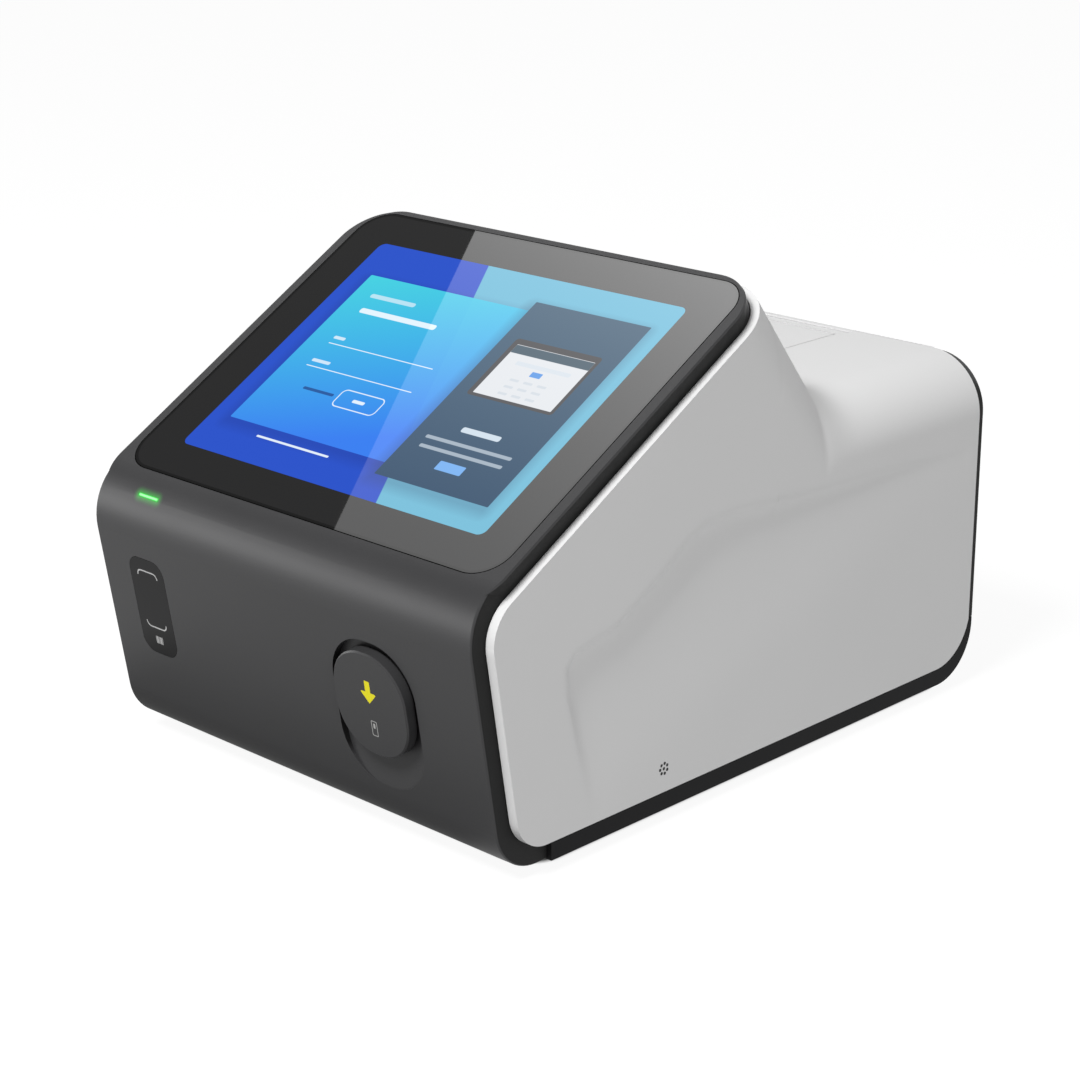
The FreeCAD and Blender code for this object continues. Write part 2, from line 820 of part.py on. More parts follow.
core_width = SHELL_WIDTH + 2 * GAP
core_body = body("core_body")
outline = sketch(core_body, "YZ_Plane")
inner_valley = hump_point(DECK - COVER_WALL, COVER_WALL)
far_front = back(-SKIRT)
far_rear = PANEL_Y + SKIRT
core_peak = hump_meets_slope(-SKIRT * 0.7, COVER_WALL)
polygon(outline, [(far_front, -5), (far_front, NOSE_Z - 30), core_peak, inner_valley,
                  (far_rear, DECK - COVER_WALL), (far_rear, -5)])
core_block = pad(core_body, outline, core_width, both_ways=True)
core_block = round_upright(core_body, core_block, X_AXIS, [(0, *inner_valley)],
                           named("valley_round") + COVER_WALL)
inner_edges = edges_along(core_block.Shape, Y_AXIS,
                          [spot_at(side * core_width / 2, (COVER_REAR, DECK - COVER_WALL)) for side in (-1,
                                                                                                        1)])
core_block = fillet(core_body, core_block, inner_edges, named("shoulder_round") - COVER_WALL)
slab_core = body("slab_core")
drawing = sketch(slab_core, "XY_Plane", 20)
rectangle(drawing, 0, (named("slope_length") + GAP - 60) / 2, core_width, named("slope_length") + GAP + 60)
slab_block = pad(slab_core, drawing, SKIRT + GAP + 20, backwards=True)
slab_top = named("slope_length") + GAP
round_upright(slab_core, slab_block, Z_AXIS, [(side * core_width / 2, slab_top, 0) for side in (-1, 1)],
              named("slab_corner") + GAP)
slope_frame(slab_core)


def side_scoop(label, side, inset):
    """The sculpted panel of one side: a drafted outline cut off by a plane that sinks up and forwards."""
    prism = body(label + "_outline")
    drawing = sketch(prism, "YZ_Plane")
    polygon(drawing, [
        (back(named("scoop_foot_back")), named("scoop_foot_height")),
        (back(named("scoop_nose_back")), named("scoop_nose_height")),
        (back(named("scoop_front_back")), named("scoop_front_height")),
        (back(named("scoop_peak_back")), named("scoop_peak_height")),
        (ahead(named("scoop_rear")), named("scoop_top")),
        (ahead(named("scoop_rear")), named("scoop_foot_height")),
    ])
    pad(prism, drawing, named("scoop_depth") * 3, backwards=side > 0, draft=-named("scoop_draft"))
    place(prism, (side * (COVER_WIDTH / 2 - inset), 0, 0))
    wedge = body(label + "_sink")
    drawing = sketch(wedge, "XZ_Plane")
    rise = named("scoop_depth") / named("scoop_reach")
    polygon(drawing, [(side * rise * 30, -30), (-side * rise * 150, 150), (side * 30, 150), (side * 30, -30)])
    pad(wedge, drawing, 900, both_ways=True)
    place(wedge, (side * (COVER_WIDTH / 2 - inset), back(named("scoop_zero_back")),
                  named("scoop_zero_height")),
          X_AXIS, named("scoop_tilt"))
    return common(label, prism, wedge)


scoops = [side_scoop(f"scoop_{word}", side, 0) for word, side in (("right", 1), ("left", -1))]
pads = [side_scoop(f"scoop_pad_{word}", side, COVER_WALL) for word, side in (("right", 1), ("left", -1))]
core = cut("cover_core_inside", join("cover_core", core_body, slab_core), *pads)
BEZEL_FRONT = ahead(named("bezel_front"))
bezel_half = named("bezel_width") / 2
deck_notch = block("deck_notch", (-bezel_half - GAP, BEZEL_FRONT - GAP, DECK - 30),
                   (bezel_half + GAP, PANEL_Y, DECK + 5))
SPEAKER_Y = back(named("speaker_back"))
SPEAKER_Z = named("speaker_height")
grille = [rod("grille_0", (COVER_WIDTH / 2 - 12, SPEAKER_Y, SPEAKER_Z), "x", named("grille_hole"), 14)]
for turn in range(6):
    angle = Size(60 * turn + 15)
    spot = (SPEAKER_Y + named("grille_ring") * sine(angle), SPEAKER_Z + named("grille_ring") * cosine(angle))
    grille.append(rod(f"grille_{turn + 1}", (COVER_WIDTH / 2 - 12, *spot), "x", named("grille_hole"), 14))
upper_cover = cut("upper_cover", cover_body, core, deck_notch, *scoops, *grille)
keep(upper_cover)

ROD_LENGTH = named("tray_travel") + named("rod_spare")

# Base tray: the dark underside, with low walls inside the cover and posts for what stands on it.
FLOOR = BOTTOM + WALL
base_front = back(named("front_seam")) + GAP
base_top = named("base_wall_height")
CHASSIS = named("chassis_level")
BOARD = named("board_level")
base_body = body("base_body")
outline = sketch(base_body, "YZ_Plane")
polygon(outline, [(base_front, BOTTOM), (PANEL_Y, BOTTOM), (PANEL_Y, base_top), (base_front, base_top)])
base_block = pad(base_body, outline, SHELL_WIDTH, both_ways=True)
base_block = round_upright(base_body, base_block, X_AXIS, [(0, PANEL_Y, BOTTOM)], named("base_heel_round"))
tub = base_body.newObject("PartDesign::Thickness", "base_hollow")
tub.Base = (base_block, faces_holding(base_block.Shape, [Vector(0, 0, base_top.value),
                                                         Vector(0, base_front.value, base_top.value)]))
bind(tub, "Value", WALL)
tub.Reversed = True
tub.Join = "Intersection"
document.recompute()

# A rim stands out from the base's sides below the cover and behind its heel, as wide as the rear panel.
half = COVER_WIDTH / 2 - named("back_inset")
rim_body = body("rim_body")
drawing = sketch(rim_body, "YZ_Plane")
polygon(drawing, [(base_front, BOTTOM), (PANEL_Y, BOTTOM), (PANEL_Y, base_top), (base_front, base_top)])
rim_block = pad(rim_body, drawing, 2 * half, both_ways=True)
round_upright(rim_body, rim_block, X_AXIS, [(0, PANEL_Y, BOTTOM)], named("base_heel_round"))
cover_body = body("cover_outline")
drawing = sketch(cover_body, "YZ_Plane")
cover_low, cover_back = named("cover_bottom") - GAP, COVER_REAR + GAP
polygon(drawing, [(base_front - 1, cover_low), (cover_back, cover_low), (cover_back, DECK),
                  (base_front - 1, DECK)])
cover_block = pad(cover_body, drawing, 2 * half + 2, both_ways=True)
round_upright(cover_body, cover_block, X_AXIS, [(0, cover_back, cover_low)], named("cover_heel_round") + GAP)
between_walls = block("between_walls", (1 - SIDE, base_front - 1, BOTTOM - 1),
                      (SIDE - 1, PANEL_Y + 1, base_top + 1))
base_rim = cut("base_rim", rim_body, cover_body, between_walls)
foot_spots = [(side * (SIDE - named("foot_side")), y) for side in (-1, 1)
              for y in (back(named("foot_front_back")), ahead(named("foot_rear")))]
foot_seats = [rod(f"foot_seat_{n}", (x, y, BOTTOM - 1), "z", named("foot_radius") + 0.2,
                  named("foot_seat") + 1)
              for n, (x, y) in enumerate(foot_spots)]
chassis_start = back(named("rod_start")) - named("chassis_sheet")
chassis_end = back(named("rod_start") + ROD_LENGTH)
post_inset = named("post_radius") + 3
chassis_posts = [(TRAY_X + side * (named("chassis_width") / 2 - post_inset), y) for side in (-1, 1)
                 for y in (chassis_start + 16 + post_inset, chassis_end - post_inset)]
posts = [rod(f"chassis_post_{n}", (x, y, BOTTOM + 1), "z", named("post_radius"), CHASSIS - BOTTOM - 1)
         for n, (x, y) in enumerate(chassis_posts)]
vents = []
vents_rear = ahead(named("floor_vents_rear"))
for number in range(9):
    x = (number - 4) * named("vent_pitch")
    vents.append(block(f"base_vent_{number}",
                       (x - named("vent_width") / 2, vents_rear - named("vent_length"), BOTTOM - 1),
                       (x + named("vent_width") / 2, vents_rear, FLOOR + 1)))
speaker_hole = rod("speaker_hole", (SHELL_WIDTH / 2 - WALL - 1, SPEAKER_Y, SPEAKER_Z), "x", 4, WALL + 2)
screw_rows = [back(named("base_screw_front")), ahead(named("base_screw_rear"))]
screw_rows.insert(1, (screw_rows[0] + screw_rows[1]) / 2)
base_screw_spots = [(side * (SIDE - named("base_screw_side")), y) for side in (-1, 1) for y in screw_rows]
screw_holes = []
for number, (x, y) in enumerate(base_screw_spots):
    screw_holes.append(rod(f"base_hole_{number}", (x, y, BOTTOM - 1), "z", named("screw_radius") + 0.15, 12))
    screw_holes.append(rod(f"base_sink_{number}", (x, y, BOTTOM - 1), "z", named("screw_head_radius") + 0.3,
                           named("screw_head") + 1))
bosses = [rod(f"base_boss_{n}", (x, y, FLOOR - 1), "z", named("post_radius"), 9)
          for n, (x, y) in enumerate(base_screw_spots)]
base_with_posts = join("base_with_posts", base_body, base_rim, *posts, *bosses)
base_tray = cut("base_tray", base_with_posts, speaker_hole, *foot_seats, *vents, *screw_holes)
keep(base_tray)


def screw(label, x, y, z, axis, way):
    """A pan head and its shank; the head's top lies at the given point, the shank runs the given way."""
    head, shank = named("screw_head"), named("screw_length")
    step = {"y": (0, 1, 0), "z": (0, 0, 1)}[axis]
    head_start, shank_start = (-head, -head - shank) if way < 0 else (Size(0), head)
    starts = [[size(spot) + go * run for spot, go in zip((x, y, z), step)] for run in (head_start,
                                                                                       shank_start)]
    return join(label, rod(label + "_head", starts[0], axis, named("screw_head_radius"), head),
                rod(label + "_shank", starts[1], axis, named("screw_radius"), shank))


keep(group("base_screws", *[screw(f"base_screw_{n}", x, y, BOTTOM, "z", 1)
                            for n, (x, y) in enumerate(base_screw_spots)]))


def foot(number, x, y):
    made = body(f"foot_{number}")
    drawing = sketch(made, "XY_Plane")
    circle(drawing, 0, 0, named("foot_radius"))
    disc = pad(made, drawing, BOTTOM + named("foot_seat"))
    lower = [f"Edge{n}" for n, edge in enumerate(disc.Shape.Edges, 1) if edge.BoundBox.ZMax < 0.01]
    fillet(made, disc, lower, 1.0, "Chamfer")
    return place(made, (x, y, 0))


keep(group("rubber_feet", *[foot(n, x, y) for n, (x, y) in enumerate(foot_spots)]))

# Rear panel: a dark lid whose lip plugs the cover's open back, with the sockets' openings.
BACK_INNER = PANEL_Y - named("back_plate")
panel_low = base_top + GAP
panel_high = DECK - named("back_drop")
panel_body = body("panel_body")
drawing = sketch(panel_body, "XZ_Plane", -PANEL_Y)
polygon(drawing, [(-half, panel_low), (half, panel_low), (half, panel_high), (-half, panel_high)])
panel = pad(panel_body, drawing, named("back_plate"))
panel = round_upright(panel_body, panel, Y_AXIS, [(side * half, 0, panel_high) for side in (-1, 1)],
                      named("back_corner"))
lip_body = body("lip_body")
lip_high = DECK - COVER_WALL - GAP
lip_half = SHELL_WIDTH / 2
lip_corner = named("shoulder_round") - COVER_WALL
drawing = sketch(lip_body, "XZ_Plane", -BACK_INNER)
lip_low = panel_low + 2
polygon(drawing, [(-lip_half, lip_low), (lip_half, lip_low), (lip_half, lip_high), (-lip_half, lip_high)])
lip = pad(lip_body, drawing, named("back_lip"))
round_upright(lip_body, lip, Y_AXIS, [(side * lip_half, 0, lip_high) for side in (-1, 1)], lip_corner)
drawing = sketch(lip_body, "XZ_Plane", -BACK_INNER)
way_half, way_high = lip_half - named("back_lip_wall"), lip_high - named("back_lip_wall")
polygon(drawing, [(-way_half, lip_low - 1), (way_half, lip_low - 1), (way_half, way_high - lip_corner),
                  (way_half - lip_corner, way_high), (lip_corner - way_half, way_high),
                  (-way_half, way_high - lip_corner)])
pocket(lip_body, drawing, named("back_lip") + 1, backwards=True)
INLET_X, INLET_Z = SIDE - named("inlet_side"), named("inlet_z")
ROCKER_X = SIDE - named("rocker_side")


def through_panel(label, x, z, width, height):
    """A rectangular way through the rear panel."""
    return block(label, (x - size(width) / 2, BACK_INNER - 1, z - size(height) / 2),
                 (x + size(width) / 2, PANEL_Y + 1, z + size(height) / 2))


board_top = BOARD + named("board_thick")
BOARD_X = named("board_side") - SIDE / 2
USB_X = [BOARD_X - named("usb_first"), BOARD_X - named("usb_second")]
LAN_X = BOARD_X + named("lan_offset")
port_mouths = [through_panel(f"usb_mouth_{n}", x, board_top + named("usb_height") / 2,
                             named("usb_width") + 0.6,
                             named("usb_height") + 0.6) for n, x in enumerate(USB_X)]
port_mouths.append(through_panel("lan_mouth", LAN_X, board_top + named("lan_height") / 2,
                                 named("lan_width") + 0.6,
                                 named("lan_height") + 0.6))
port_mouths.append(through_panel("inlet_mouth", INLET_X, INLET_Z, named("inlet_width") + 0.4,
                                 named("inlet_height") + 0.4))
port_mouths.append(through_panel("switch_mouth", ROCKER_X, INLET_Z, named("rocker_width") + 0.4,
                                 named("rocker_height") + 0.4))
for number in range(12):
    x = named("vents_side") - SIDE + (number - 5.5) * named("vent_pitch")
    port_mouths.append(through_panel(f"back_vent_{number}", x, DECK - named("vents_drop"),
                                     named("vent_width"), named("vent_length")))
panel_screw_spots = [(side * (half - named("panel_screw_side")), z) for side in (-1, 1)
                     for z in (panel_low + 12, panel_high - 26)]
for number, (x, z) in enumerate(panel_screw_spots):
    port_mouths.append(rod(f"panel_sink_{number}", (x, PANEL_Y - named("screw_head"), z), "y",
                           named("screw_head_radius") + 0.3, 5))
    port_mouths.append(rod(f"panel_hole_{number}", (x, BACK_INNER - 20, z), "y",
                           named("screw_radius") + 0.15, 30))
bezel_clearance = block("bezel_clearance",
                        (-bezel_half - 0.6, BACK_INNER - 20, DECK - named("bezel_deep") - 4),
                        (bezel_half + 0.6, BACK_INNER, DECK))
panel_bosses = [rod(f"panel_boss_{n}", (x, BACK_INNER - named("back_lip"), z), "y", named("post_radius"),
                    named("back_lip") + 1) for n, (x, z) in enumerate(panel_screw_spots)]
rear_panel = cut("rear_panel", join("panel_with_lip", panel_body, lip_body, *panel_bosses), bezel_clearance,
                 *port_mouths)
keep(rear_panel)
keep(group("rear_screws", *[screw(f"rear_screw_{n}", x, PANEL_Y, z, "y", -1)
                            for n, (x, z) in enumerate(panel_screw_spots)]))

# Touch screen: glass, foam gasket, display and its sheet bracket.
keep(slab_plate("touch_glass", 0, named("glass_thick"), 0, named("glass_corner")))
gasket_middle = named("glass_start") + named("glass_height") / 2
gasket = plate("glass_gasket", 0, gasket_middle, GLASS_WIDTH, named("glass_height"), named("gasket_thick"),
               named("glass_corner"), -named("glass_thick"))
ring_pocket(gasket, 0, gasket_middle, GLASS_WIDTH - 2 * named("gasket_width"),
            named("glass_height") - 2 * named("gasket_width"), named("glass_corner") - named("gasket_width"),
            glass_bed, 0)
keep(slope_frame(gasket))
display_width = PICTURE_WIDTH + 2 * named("display_border")
display_tall = named("picture_height") + 2 * named("display_border")
display = body("display")
drawing = sketch(display, "XY_Plane", -ledge_bottom)
rectangle(drawing, named("picture_offset"), picture_middle, display_width, display_tall)
pad(display, drawing, named("display_thick"), backwards=True)
drawing = sketch(display, "XY_Plane", -ledge_bottom)
rectangle(drawing, named("picture_offset"), picture_middle, window_wide - 1, window_tall - 1)
pad(display, drawing, ledge_bottom - named("glass_thick") - 0.05)
display.Label = "lcd_display"
keep(slope_frame(display))
display_back = ledge_bottom + named("display_thick")
bracket_width = GLASS_WIDTH - 6
bracket = plate("display_bracket", 0, picture_middle, bracket_width, display_tall + 6,
                named("bracket_sheet"), 4,
                -display_back)
ring_pocket(bracket, named("picture_offset"), picture_middle, display_width - 40, display_tall - 40, 6, 8,
            -display_back + 2)
drawing = sketch(bracket, "XY_Plane", -display_back)
for side in (-1, 1):
    rectangle(drawing, side * (bracket_width / 2 - 3), picture_middle, 6, display_tall - 30)
pad(bracket, drawing, named("display_thick"))
keep(slope_frame(bracket))
driver = plate("display_driver_board", named("picture_offset"), picture_middle - 30, display_width - 36, 30,
               1.6, 1.5,
               -display_back - named("bracket_sheet"))
keep(slope_frame(driver))

# Status light: a clear bar through the nose with its small board behind.
light_seat = NOSE_ROUND - WALL - 0.3
pipe = plate("status_light_pipe", 0, 0, named("light_length"), named("light_width"), WALL + 1.5,
             named("light_width") / 2 - 0.01, NOSE_ROUND - 0.05)
drawing = sketch(pipe, "XY_Plane", light_seat)
rectangle(drawing, 0, 0, named("light_length") + 4, named("light_width") + 3)
pad(pipe, drawing, 2, backwards=True)
keep(light_frame(pipe))
keep(light_frame(plate("status_light_board", 0, 0, 24, 9, 1.6, 1, light_seat - 2)))

# Code scanner behind its flush window.
keep(front_frame(plate("scanner_window", WINDOW_X, window_v, named("window_width"), named("window_height"),
                       named("window_thick"), named("window_corner"))))
scanner = body("scanner_module")
scan_front = WALL + 4
drawing = sketch(scanner, "XY_Plane", -scan_front)
rectangle(drawing, WINDOW_X, window_v, named("scanner_width"), named("scanner_height"))
pad(scanner, drawing, named("scanner_deep"), backwards=True)
drawing = sketch(scanner, "XY_Plane", -scan_front)
circle(drawing, WINDOW_X, window_v + 3, named("scanner_width") / 4)
pad(scanner, drawing, 3)
keep(front_frame(scanner))
scan_bracket = body("scanner_bracket")
drawing = sketch(scan_bracket, "XZ_Plane", -window_v + 6)
inner, outer = named("scanner_width") / 2, named("scanner_width") / 2 + named("bracket_sheet")
scan_back = scan_front + named("scanner_deep")
polygon(drawing, [(WINDOW_X + u, v) for u, v in (
    (-outer, -WALL), (-outer, -scan_back - named("bracket_sheet")), (outer,
                                                                     -scan_back - named("bracket_sheet")),
    (outer, -WALL), (inner, -WALL), (inner, -scan_back), (-inner, -scan_back), (-inner, -WALL))])
pad(scan_bracket, drawing, 12, backwards=True)
keep(front_frame(scan_bracket))

# Speaker behind the small holes of the right side.
speaker_x = SHELL_WIDTH / 2 - WALL - GAP
basket = rod("speaker_basket", (speaker_x - named("speaker_deep"), SPEAKER_Y, SPEAKER_Z), "x",
             named("speaker_radius"),
             named("speaker_deep"))
cone = document.addObject("Part::Cone", "speaker_cone")
cone.Radius1, cone.Radius2, cone.Height = 2, 7, 3
cone.Placement = Placement(Vector(), Rotation(Y_AXIS, 90))
for letter, amount in zip("xyz", (speaker_x - 3, SPEAKER_Y, SPEAKER_Z)):
    bind(cone, f".Placement.Base.{letter}", amount)
keep(cut("speaker", basket, cone))

# Tray drive and carriage.
ROD_Z = named("tray_level") - named("rod_drop")
TRAY_LOW = named("tray_level") - named("tray_thick")
door_back = named("door_thick") - named("door_proud")
door_middle = -(named("door_top") + named("door_height") / 2)
tray_door = plate("tray_front", TRAY_X, door_middle, named("door_width"), named("door_height"),
                  named("door_thick"),
                  named("door_corner"), named("door_proud"))
tip = tray_door.Tip
rim = [f"Edge{n}" for n, edge in enumerate(tip.Shape.Edges, 1)
       if abs(edge.BoundBox.ZMin - named("door_proud").value) < 1e-3]
fillet(tray_door, tip, rim, 0.6, "Chamfer")
keep(front_frame(tray_door))

tray = body("cartridge_tray")
tray_end = back(named("tray_length"))
drawing = sketch(tray, "YZ_Plane", TRAY_X)
polygon(drawing, [behind_front(named("tray_level"), -door_back), behind_front(TRAY_LOW, -door_back),
                  (tray_end, TRAY_LOW), (tray_end, named("tray_level"))])
pad(tray, drawing, named("tray_width"), both_ways=True)
wing_reach = named("rod_spread") + named("bush_radius") + 2.5
wing_low, wing_high = ROD_Z - named("wing_below"), named("tray_level") - 0.1
carriage_front = back(named("carriage_start"))
drawing = sketch(tray, "XY_Plane", wing_low)
polygon(drawing, [(TRAY_X - wing_reach, carriage_front), (TRAY_X + wing_reach, carriage_front),
                  (TRAY_X + wing_reach, carriage_front + named("carriage_length")),
                  (TRAY_X - wing_reach, carriage_front + named("carriage_length"))])
pad(tray, drawing, wing_high - wing_low)
pocket_y = back(named("pocket_start")) + named("pocket_length") / 2
ring_pocket(tray, TRAY_X, pocket_y, named("pocket_width"), named("pocket_length"), 2.5, named("pocket_deep"),
            named("tray_level"))
drawing = sketch(tray, "XZ_Plane", -carriage_front + 1)
for side in (-1, 1):
    circle(drawing, TRAY_X + side * named("rod_spread"), ROD_Z, named("bush_radius"))
pocket(tray, drawing, named("carriage_length") + 2)
keep(tray)

rods, bushes = [], []
for word, side in (("left", -1), ("right", 1)):
    x = TRAY_X + side * named("rod_spread")
    rods.append(rod(f"rod_{word}", (x, chassis_start, ROD_Z), "y", named("rod_radius"),
                    ROD_LENGTH + 2 * named("chassis_sheet")))
    outer_bush = rod(f"bush_body_{word}", (x, carriage_front, ROD_Z), "y", named("bush_radius"),
                     named("carriage_length"))
    bore = rod(f"bush_bore_{word}", (x, carriage_front - 1, ROD_Z), "y",
               named("rod_radius") + named("rod_play"),
               named("carriage_length") + 2)
    bushes.append(cut(f"bush_{word}", outer_bush, bore))
keep(group("guide_rods", *rods), group("tray_bushes", *bushes))

chassis = body("tray_chassis")
chassis_half = named("chassis_width") / 2
drawing = sketch(chassis, "XY_Plane", CHASSIS)
polygon(drawing, [(TRAY_X + side * chassis_half, y) for side, y in (
    (-1, chassis_start), (1, chassis_start), (1, chassis_end + named("chassis_sheet")),
    (-1, chassis_end + named("chassis_sheet")))])
pad(chassis, drawing, named("chassis_sheet"))
slot_half = named("tray_width") / 2 + 1
for y in (chassis_start, chassis_end):
    drawing = sketch(chassis, "XZ_Plane", -y)
    ears = [(-chassis_half, CHASSIS), (chassis_half, CHASSIS), (chassis_half, ROD_Z + 5),
            (slot_half, ROD_Z + 5),
            (slot_half, TRAY_LOW - 8), (-slot_half, TRAY_LOW - 8), (-slot_half, ROD_Z + 5), (-chassis_half,
                                                                                             ROD_Z + 5)]
    polygon(drawing, [(TRAY_X + u, v) for u, v in ears])
    pad(chassis, drawing, named("chassis_sheet"), backwards=True)
    drawing = sketch(chassis, "XZ_Plane", -y + 1)
    for side in (-1, 1):
        circle(drawing, TRAY_X + side * named("rod_spread"), ROD_Z, named("rod_radius"))
    pocket(chassis, drawing, named("chassis_sheet") + 2)
keep(chassis)

MODULE = named("gear_module")
FOOT, HEAD = named("tooth_foot") * MODULE, named("tooth_head") * MODULE
rack_pitch_z = TRAY_LOW - named("rack_back") - FOOT
pitch_radius = MODULE * named("pinion_teeth") / 2
PINION_Y = back(named("pinion_back"))
PINION_Z = rack_pitch_z - pitch_radius
tooth_step = math.pi * MODULE


def tooth_rows(teeth, module, play):
    """Half thickness of an involute tooth at four radii, from root to tip."""
    pitch = teeth * module / 2
    base = pitch * 0.9396926
    rows = []
    for radius in (base * 1.002, pitch, pitch + 0.5 * module, pitch + 0.9 * module):
        lean = (radius * radius / base / base - 1) ** 0.5
        involute = lean - math.atan(lean)
        start = math.tan(math.radians(20)) - math.radians(20)
        half = (math.pi * module / 4 - play) / pitch + start - involute
        rows.append((radius * math.cos(half), radius * math.sin(half)))
    return rows


def gear(label, teeth, module, play, width, bore, boss=None):
    """A spur gear about its own z axis: a root disc and one tooth patterned round it."""
    made = body(label)
    root = teeth * module / 2 - 1.2 * module
    drawing = sketch(made, "XY_Plane")
    circle(drawing, 0, 0, root)
    disc = pad(made, drawing, width)
    drawing = sketch(made, "XY_Plane")
    rows = tooth_rows(teeth, module, play)
    side = [(root * 0.9, rows[0][1])] + rows
    polygon(drawing, [(u, -v) for u, v in side] + [(u, v) for u, v in reversed(side)])
    tooth = pad(made, drawing, width)
    ring = made.newObject("PartDesign::PolarPattern", label + "_ring")
    ring.Originals = [tooth]
    ring.Axis = (next(item for item in made.Origin.OriginFeatures if item.Role == "Z_Axis"), [""])
    ring.Angle = 360
    ring.Occurrences = teeth
    made.Tip = ring
    document.recompute()
    drawing = sketch(made, "XY_Plane", size(width) + 1)
    circle(drawing, 0, 0, bore)
    pocket(made, drawing, size(width) + 2)
    return made


teeth = int(named("pinion_teeth").value)
pinion = gear("drive_pinion", teeth, MODULE.value, named("gear_play").value, named("pinion_width"),
              named("shaft_radius"))
half_step = 180 / teeth
# The pinion turns about x; a gap between two teeth faces the rack above.
pinion.Placement = Placement(Vector(), Rotation(Y_AXIS, 90) * Rotation(Z_AXIS, half_step))
for letter, amount in zip("xyz", (TRAY_X - named("pinion_width") / 2, PINION_Y, PINION_Z)):
    bind(pinion, f".Placement.Base.{letter}", amount)
keep(pinion)

rack = body("tray_rack")
rack_low = rack_pitch_z + FOOT
drawing = sketch(rack, "YZ_Plane", TRAY_X)
rack_start = PINION_Y - 8 * tooth_step
rack_teeth = int(round((tray_end.value - 4 - rack_start.value) / tooth_step.value))
polygon(drawing, [(rack_start - tooth_step / 2, rack_low), (rack_start + (rack_teeth - 0.5) * tooth_step,
                                                            rack_low),
                  (rack_start + (rack_teeth - 0.5) * tooth_step, TRAY_LOW), (rack_start - tooth_step / 2,
                                                                             TRAY_LOW)])
pad(rack, drawing, named("rack_width"), both_ways=True)
drawing = sketch(rack, "YZ_Plane", TRAY_X)
half_pitch = tooth_step / 4 - named("gear_play")
foot_half, tip_half = half_pitch + named("flank_slope") * FOOT, half_pitch - named("flank_slope") * HEAD
polygon(drawing, [(rack_start + u, rack_pitch_z + v) for u, v in (
    (-foot_half, FOOT), (-tip_half, -HEAD), (tip_half, -HEAD), (foot_half, FOOT))])
tooth = pad(rack, drawing, named("rack_width"), both_ways=True)
row_of_teeth = rack.newObject("PartDesign::LinearPattern", "rack_row")
row_of_teeth.Originals = [tooth]
row_of_teeth.Direction = (next(item for item in rack.Origin.OriginFeatures if item.Role == "Y_Axis"), [""])
row_of_teeth.Length = (rack_teeth - 1) * tooth_step.value
row_of_teeth.Occurrences = rack_teeth
rack.Tip = row_of_teeth
document.recompute()
keep(rack)

# Stepper motor of the tray on its own bracket, and the sensor for the tray's home place.
motor_x = TRAY_X + named("pinion_width") / 2 + 5
half_motor = named("motor_side") / 2
bracket_top = PINION_Z + half_motor
motor_bracket = body("motor_bracket")
drawing = sketch(motor_bracket, "YZ_Plane", motor_x - 2)
polygon(drawing, [(PINION_Y - half_motor, CHASSIS + named("chassis_sheet")),
                  (PINION_Y + half_motor, CHASSIS + named("chassis_sheet")),
                  (PINION_Y + half_motor, bracket_top), (PINION_Y - half_motor, bracket_top)])
pad(motor_bracket, drawing, 2)
drawing = sketch(motor_bracket, "YZ_Plane", motor_x - 3)
circle(drawing, PINION_Y, PINION_Z, named("shaft_radius") + 1.5)
pocket(motor_bracket, drawing, 4, backwards=True)
keep(motor_bracket)
motor_can = body("motor_can")
drawing = sketch(motor_can, "YZ_Plane", motor_x)
rectangle(drawing, PINION_Y, PINION_Z, named("motor_side"), named("motor_side"))
can = pad(motor_can, drawing, named("motor_length"))
fillet(motor_can, can, edges_along(can.Shape, X_AXIS, [Vector(0, (PINION_Y + s * half_motor).value,
                                                              (PINION_Z + t * half_motor).value)
                                                       for s in (-1, 1) for t in (-1, 1)]), 2, "Chamfer")
shaft = rod("motor_shaft", (TRAY_X - named("pinion_width") / 2, PINION_Y, PINION_Z), "x",
            named("shaft_radius") - 0.05,
            motor_x - TRAY_X + named("pinion_width") / 2 + 1)
keep(join("tray_motor", motor_can, shaft))
sensor_x = TRAY_X - named("rod_spread") - 8
sensor_half, sensor_low = named("sensor_width") / 2, CHASSIS + named("chassis_sheet")
sensor_rear = chassis_end - 8
sensor_base = block("sensor_base", (sensor_x - sensor_half, sensor_rear - named("sensor_length"), sensor_low),
                    (sensor_x + sensor_half, sensor_rear, sensor_low + named("sensor_height")))
slot_half_width = named("sensor_slot") / 2
sensor_slot = block("sensor_slot", (sensor_x - slot_half_width, sensor_rear - 2 * named("sensor_length"),
                                    sensor_low + 4),
                    (sensor_x + slot_half_width, sensor_rear + 1, sensor_low + 2 * named("sensor_height")))
keep(cut("home_sensor", sensor_base, sensor_slot))

# Reading head over the tray's path, hung from an arch that stands on the chassis.
optics_low = named("tray_level") + named("optics_lift")
optics_top = optics_low + named("optics_height")
optics_front = back(named("optics_start"))
optics_rear = optics_front + named("optics_length")
arch_half = chassis_half - 1
arch_sheet = named("arch_sheet")
arch = body("optics_arch")
drawing = sketch(arch, "XZ_Plane", -optics_front - named("arch_inset"))
arch_foot = CHASSIS + named("chassis_sheet")
polygon(drawing, [(TRAY_X + u, v) for u, v in (
    (-arch_half, arch_foot), (-arch_half + arch_sheet, arch_foot), (-arch_half + arch_sheet, optics_top),
    (arch_half - arch_sheet, optics_top), (arch_half - arch_sheet, arch_foot), (arch_half, arch_foot),
    (arch_half, optics_top + arch_sheet), (-arch_half, optics_top + arch_sheet))])
pad(arch, drawing, named("optics_length") - 2 * named("arch_inset"), backwards=True)
keep(arch)
head_block = block("head_block", (TRAY_X - named("optics_width") / 2, optics_front, optics_low),
                   (TRAY_X + named("optics_width") / 2, optics_rear, optics_top))
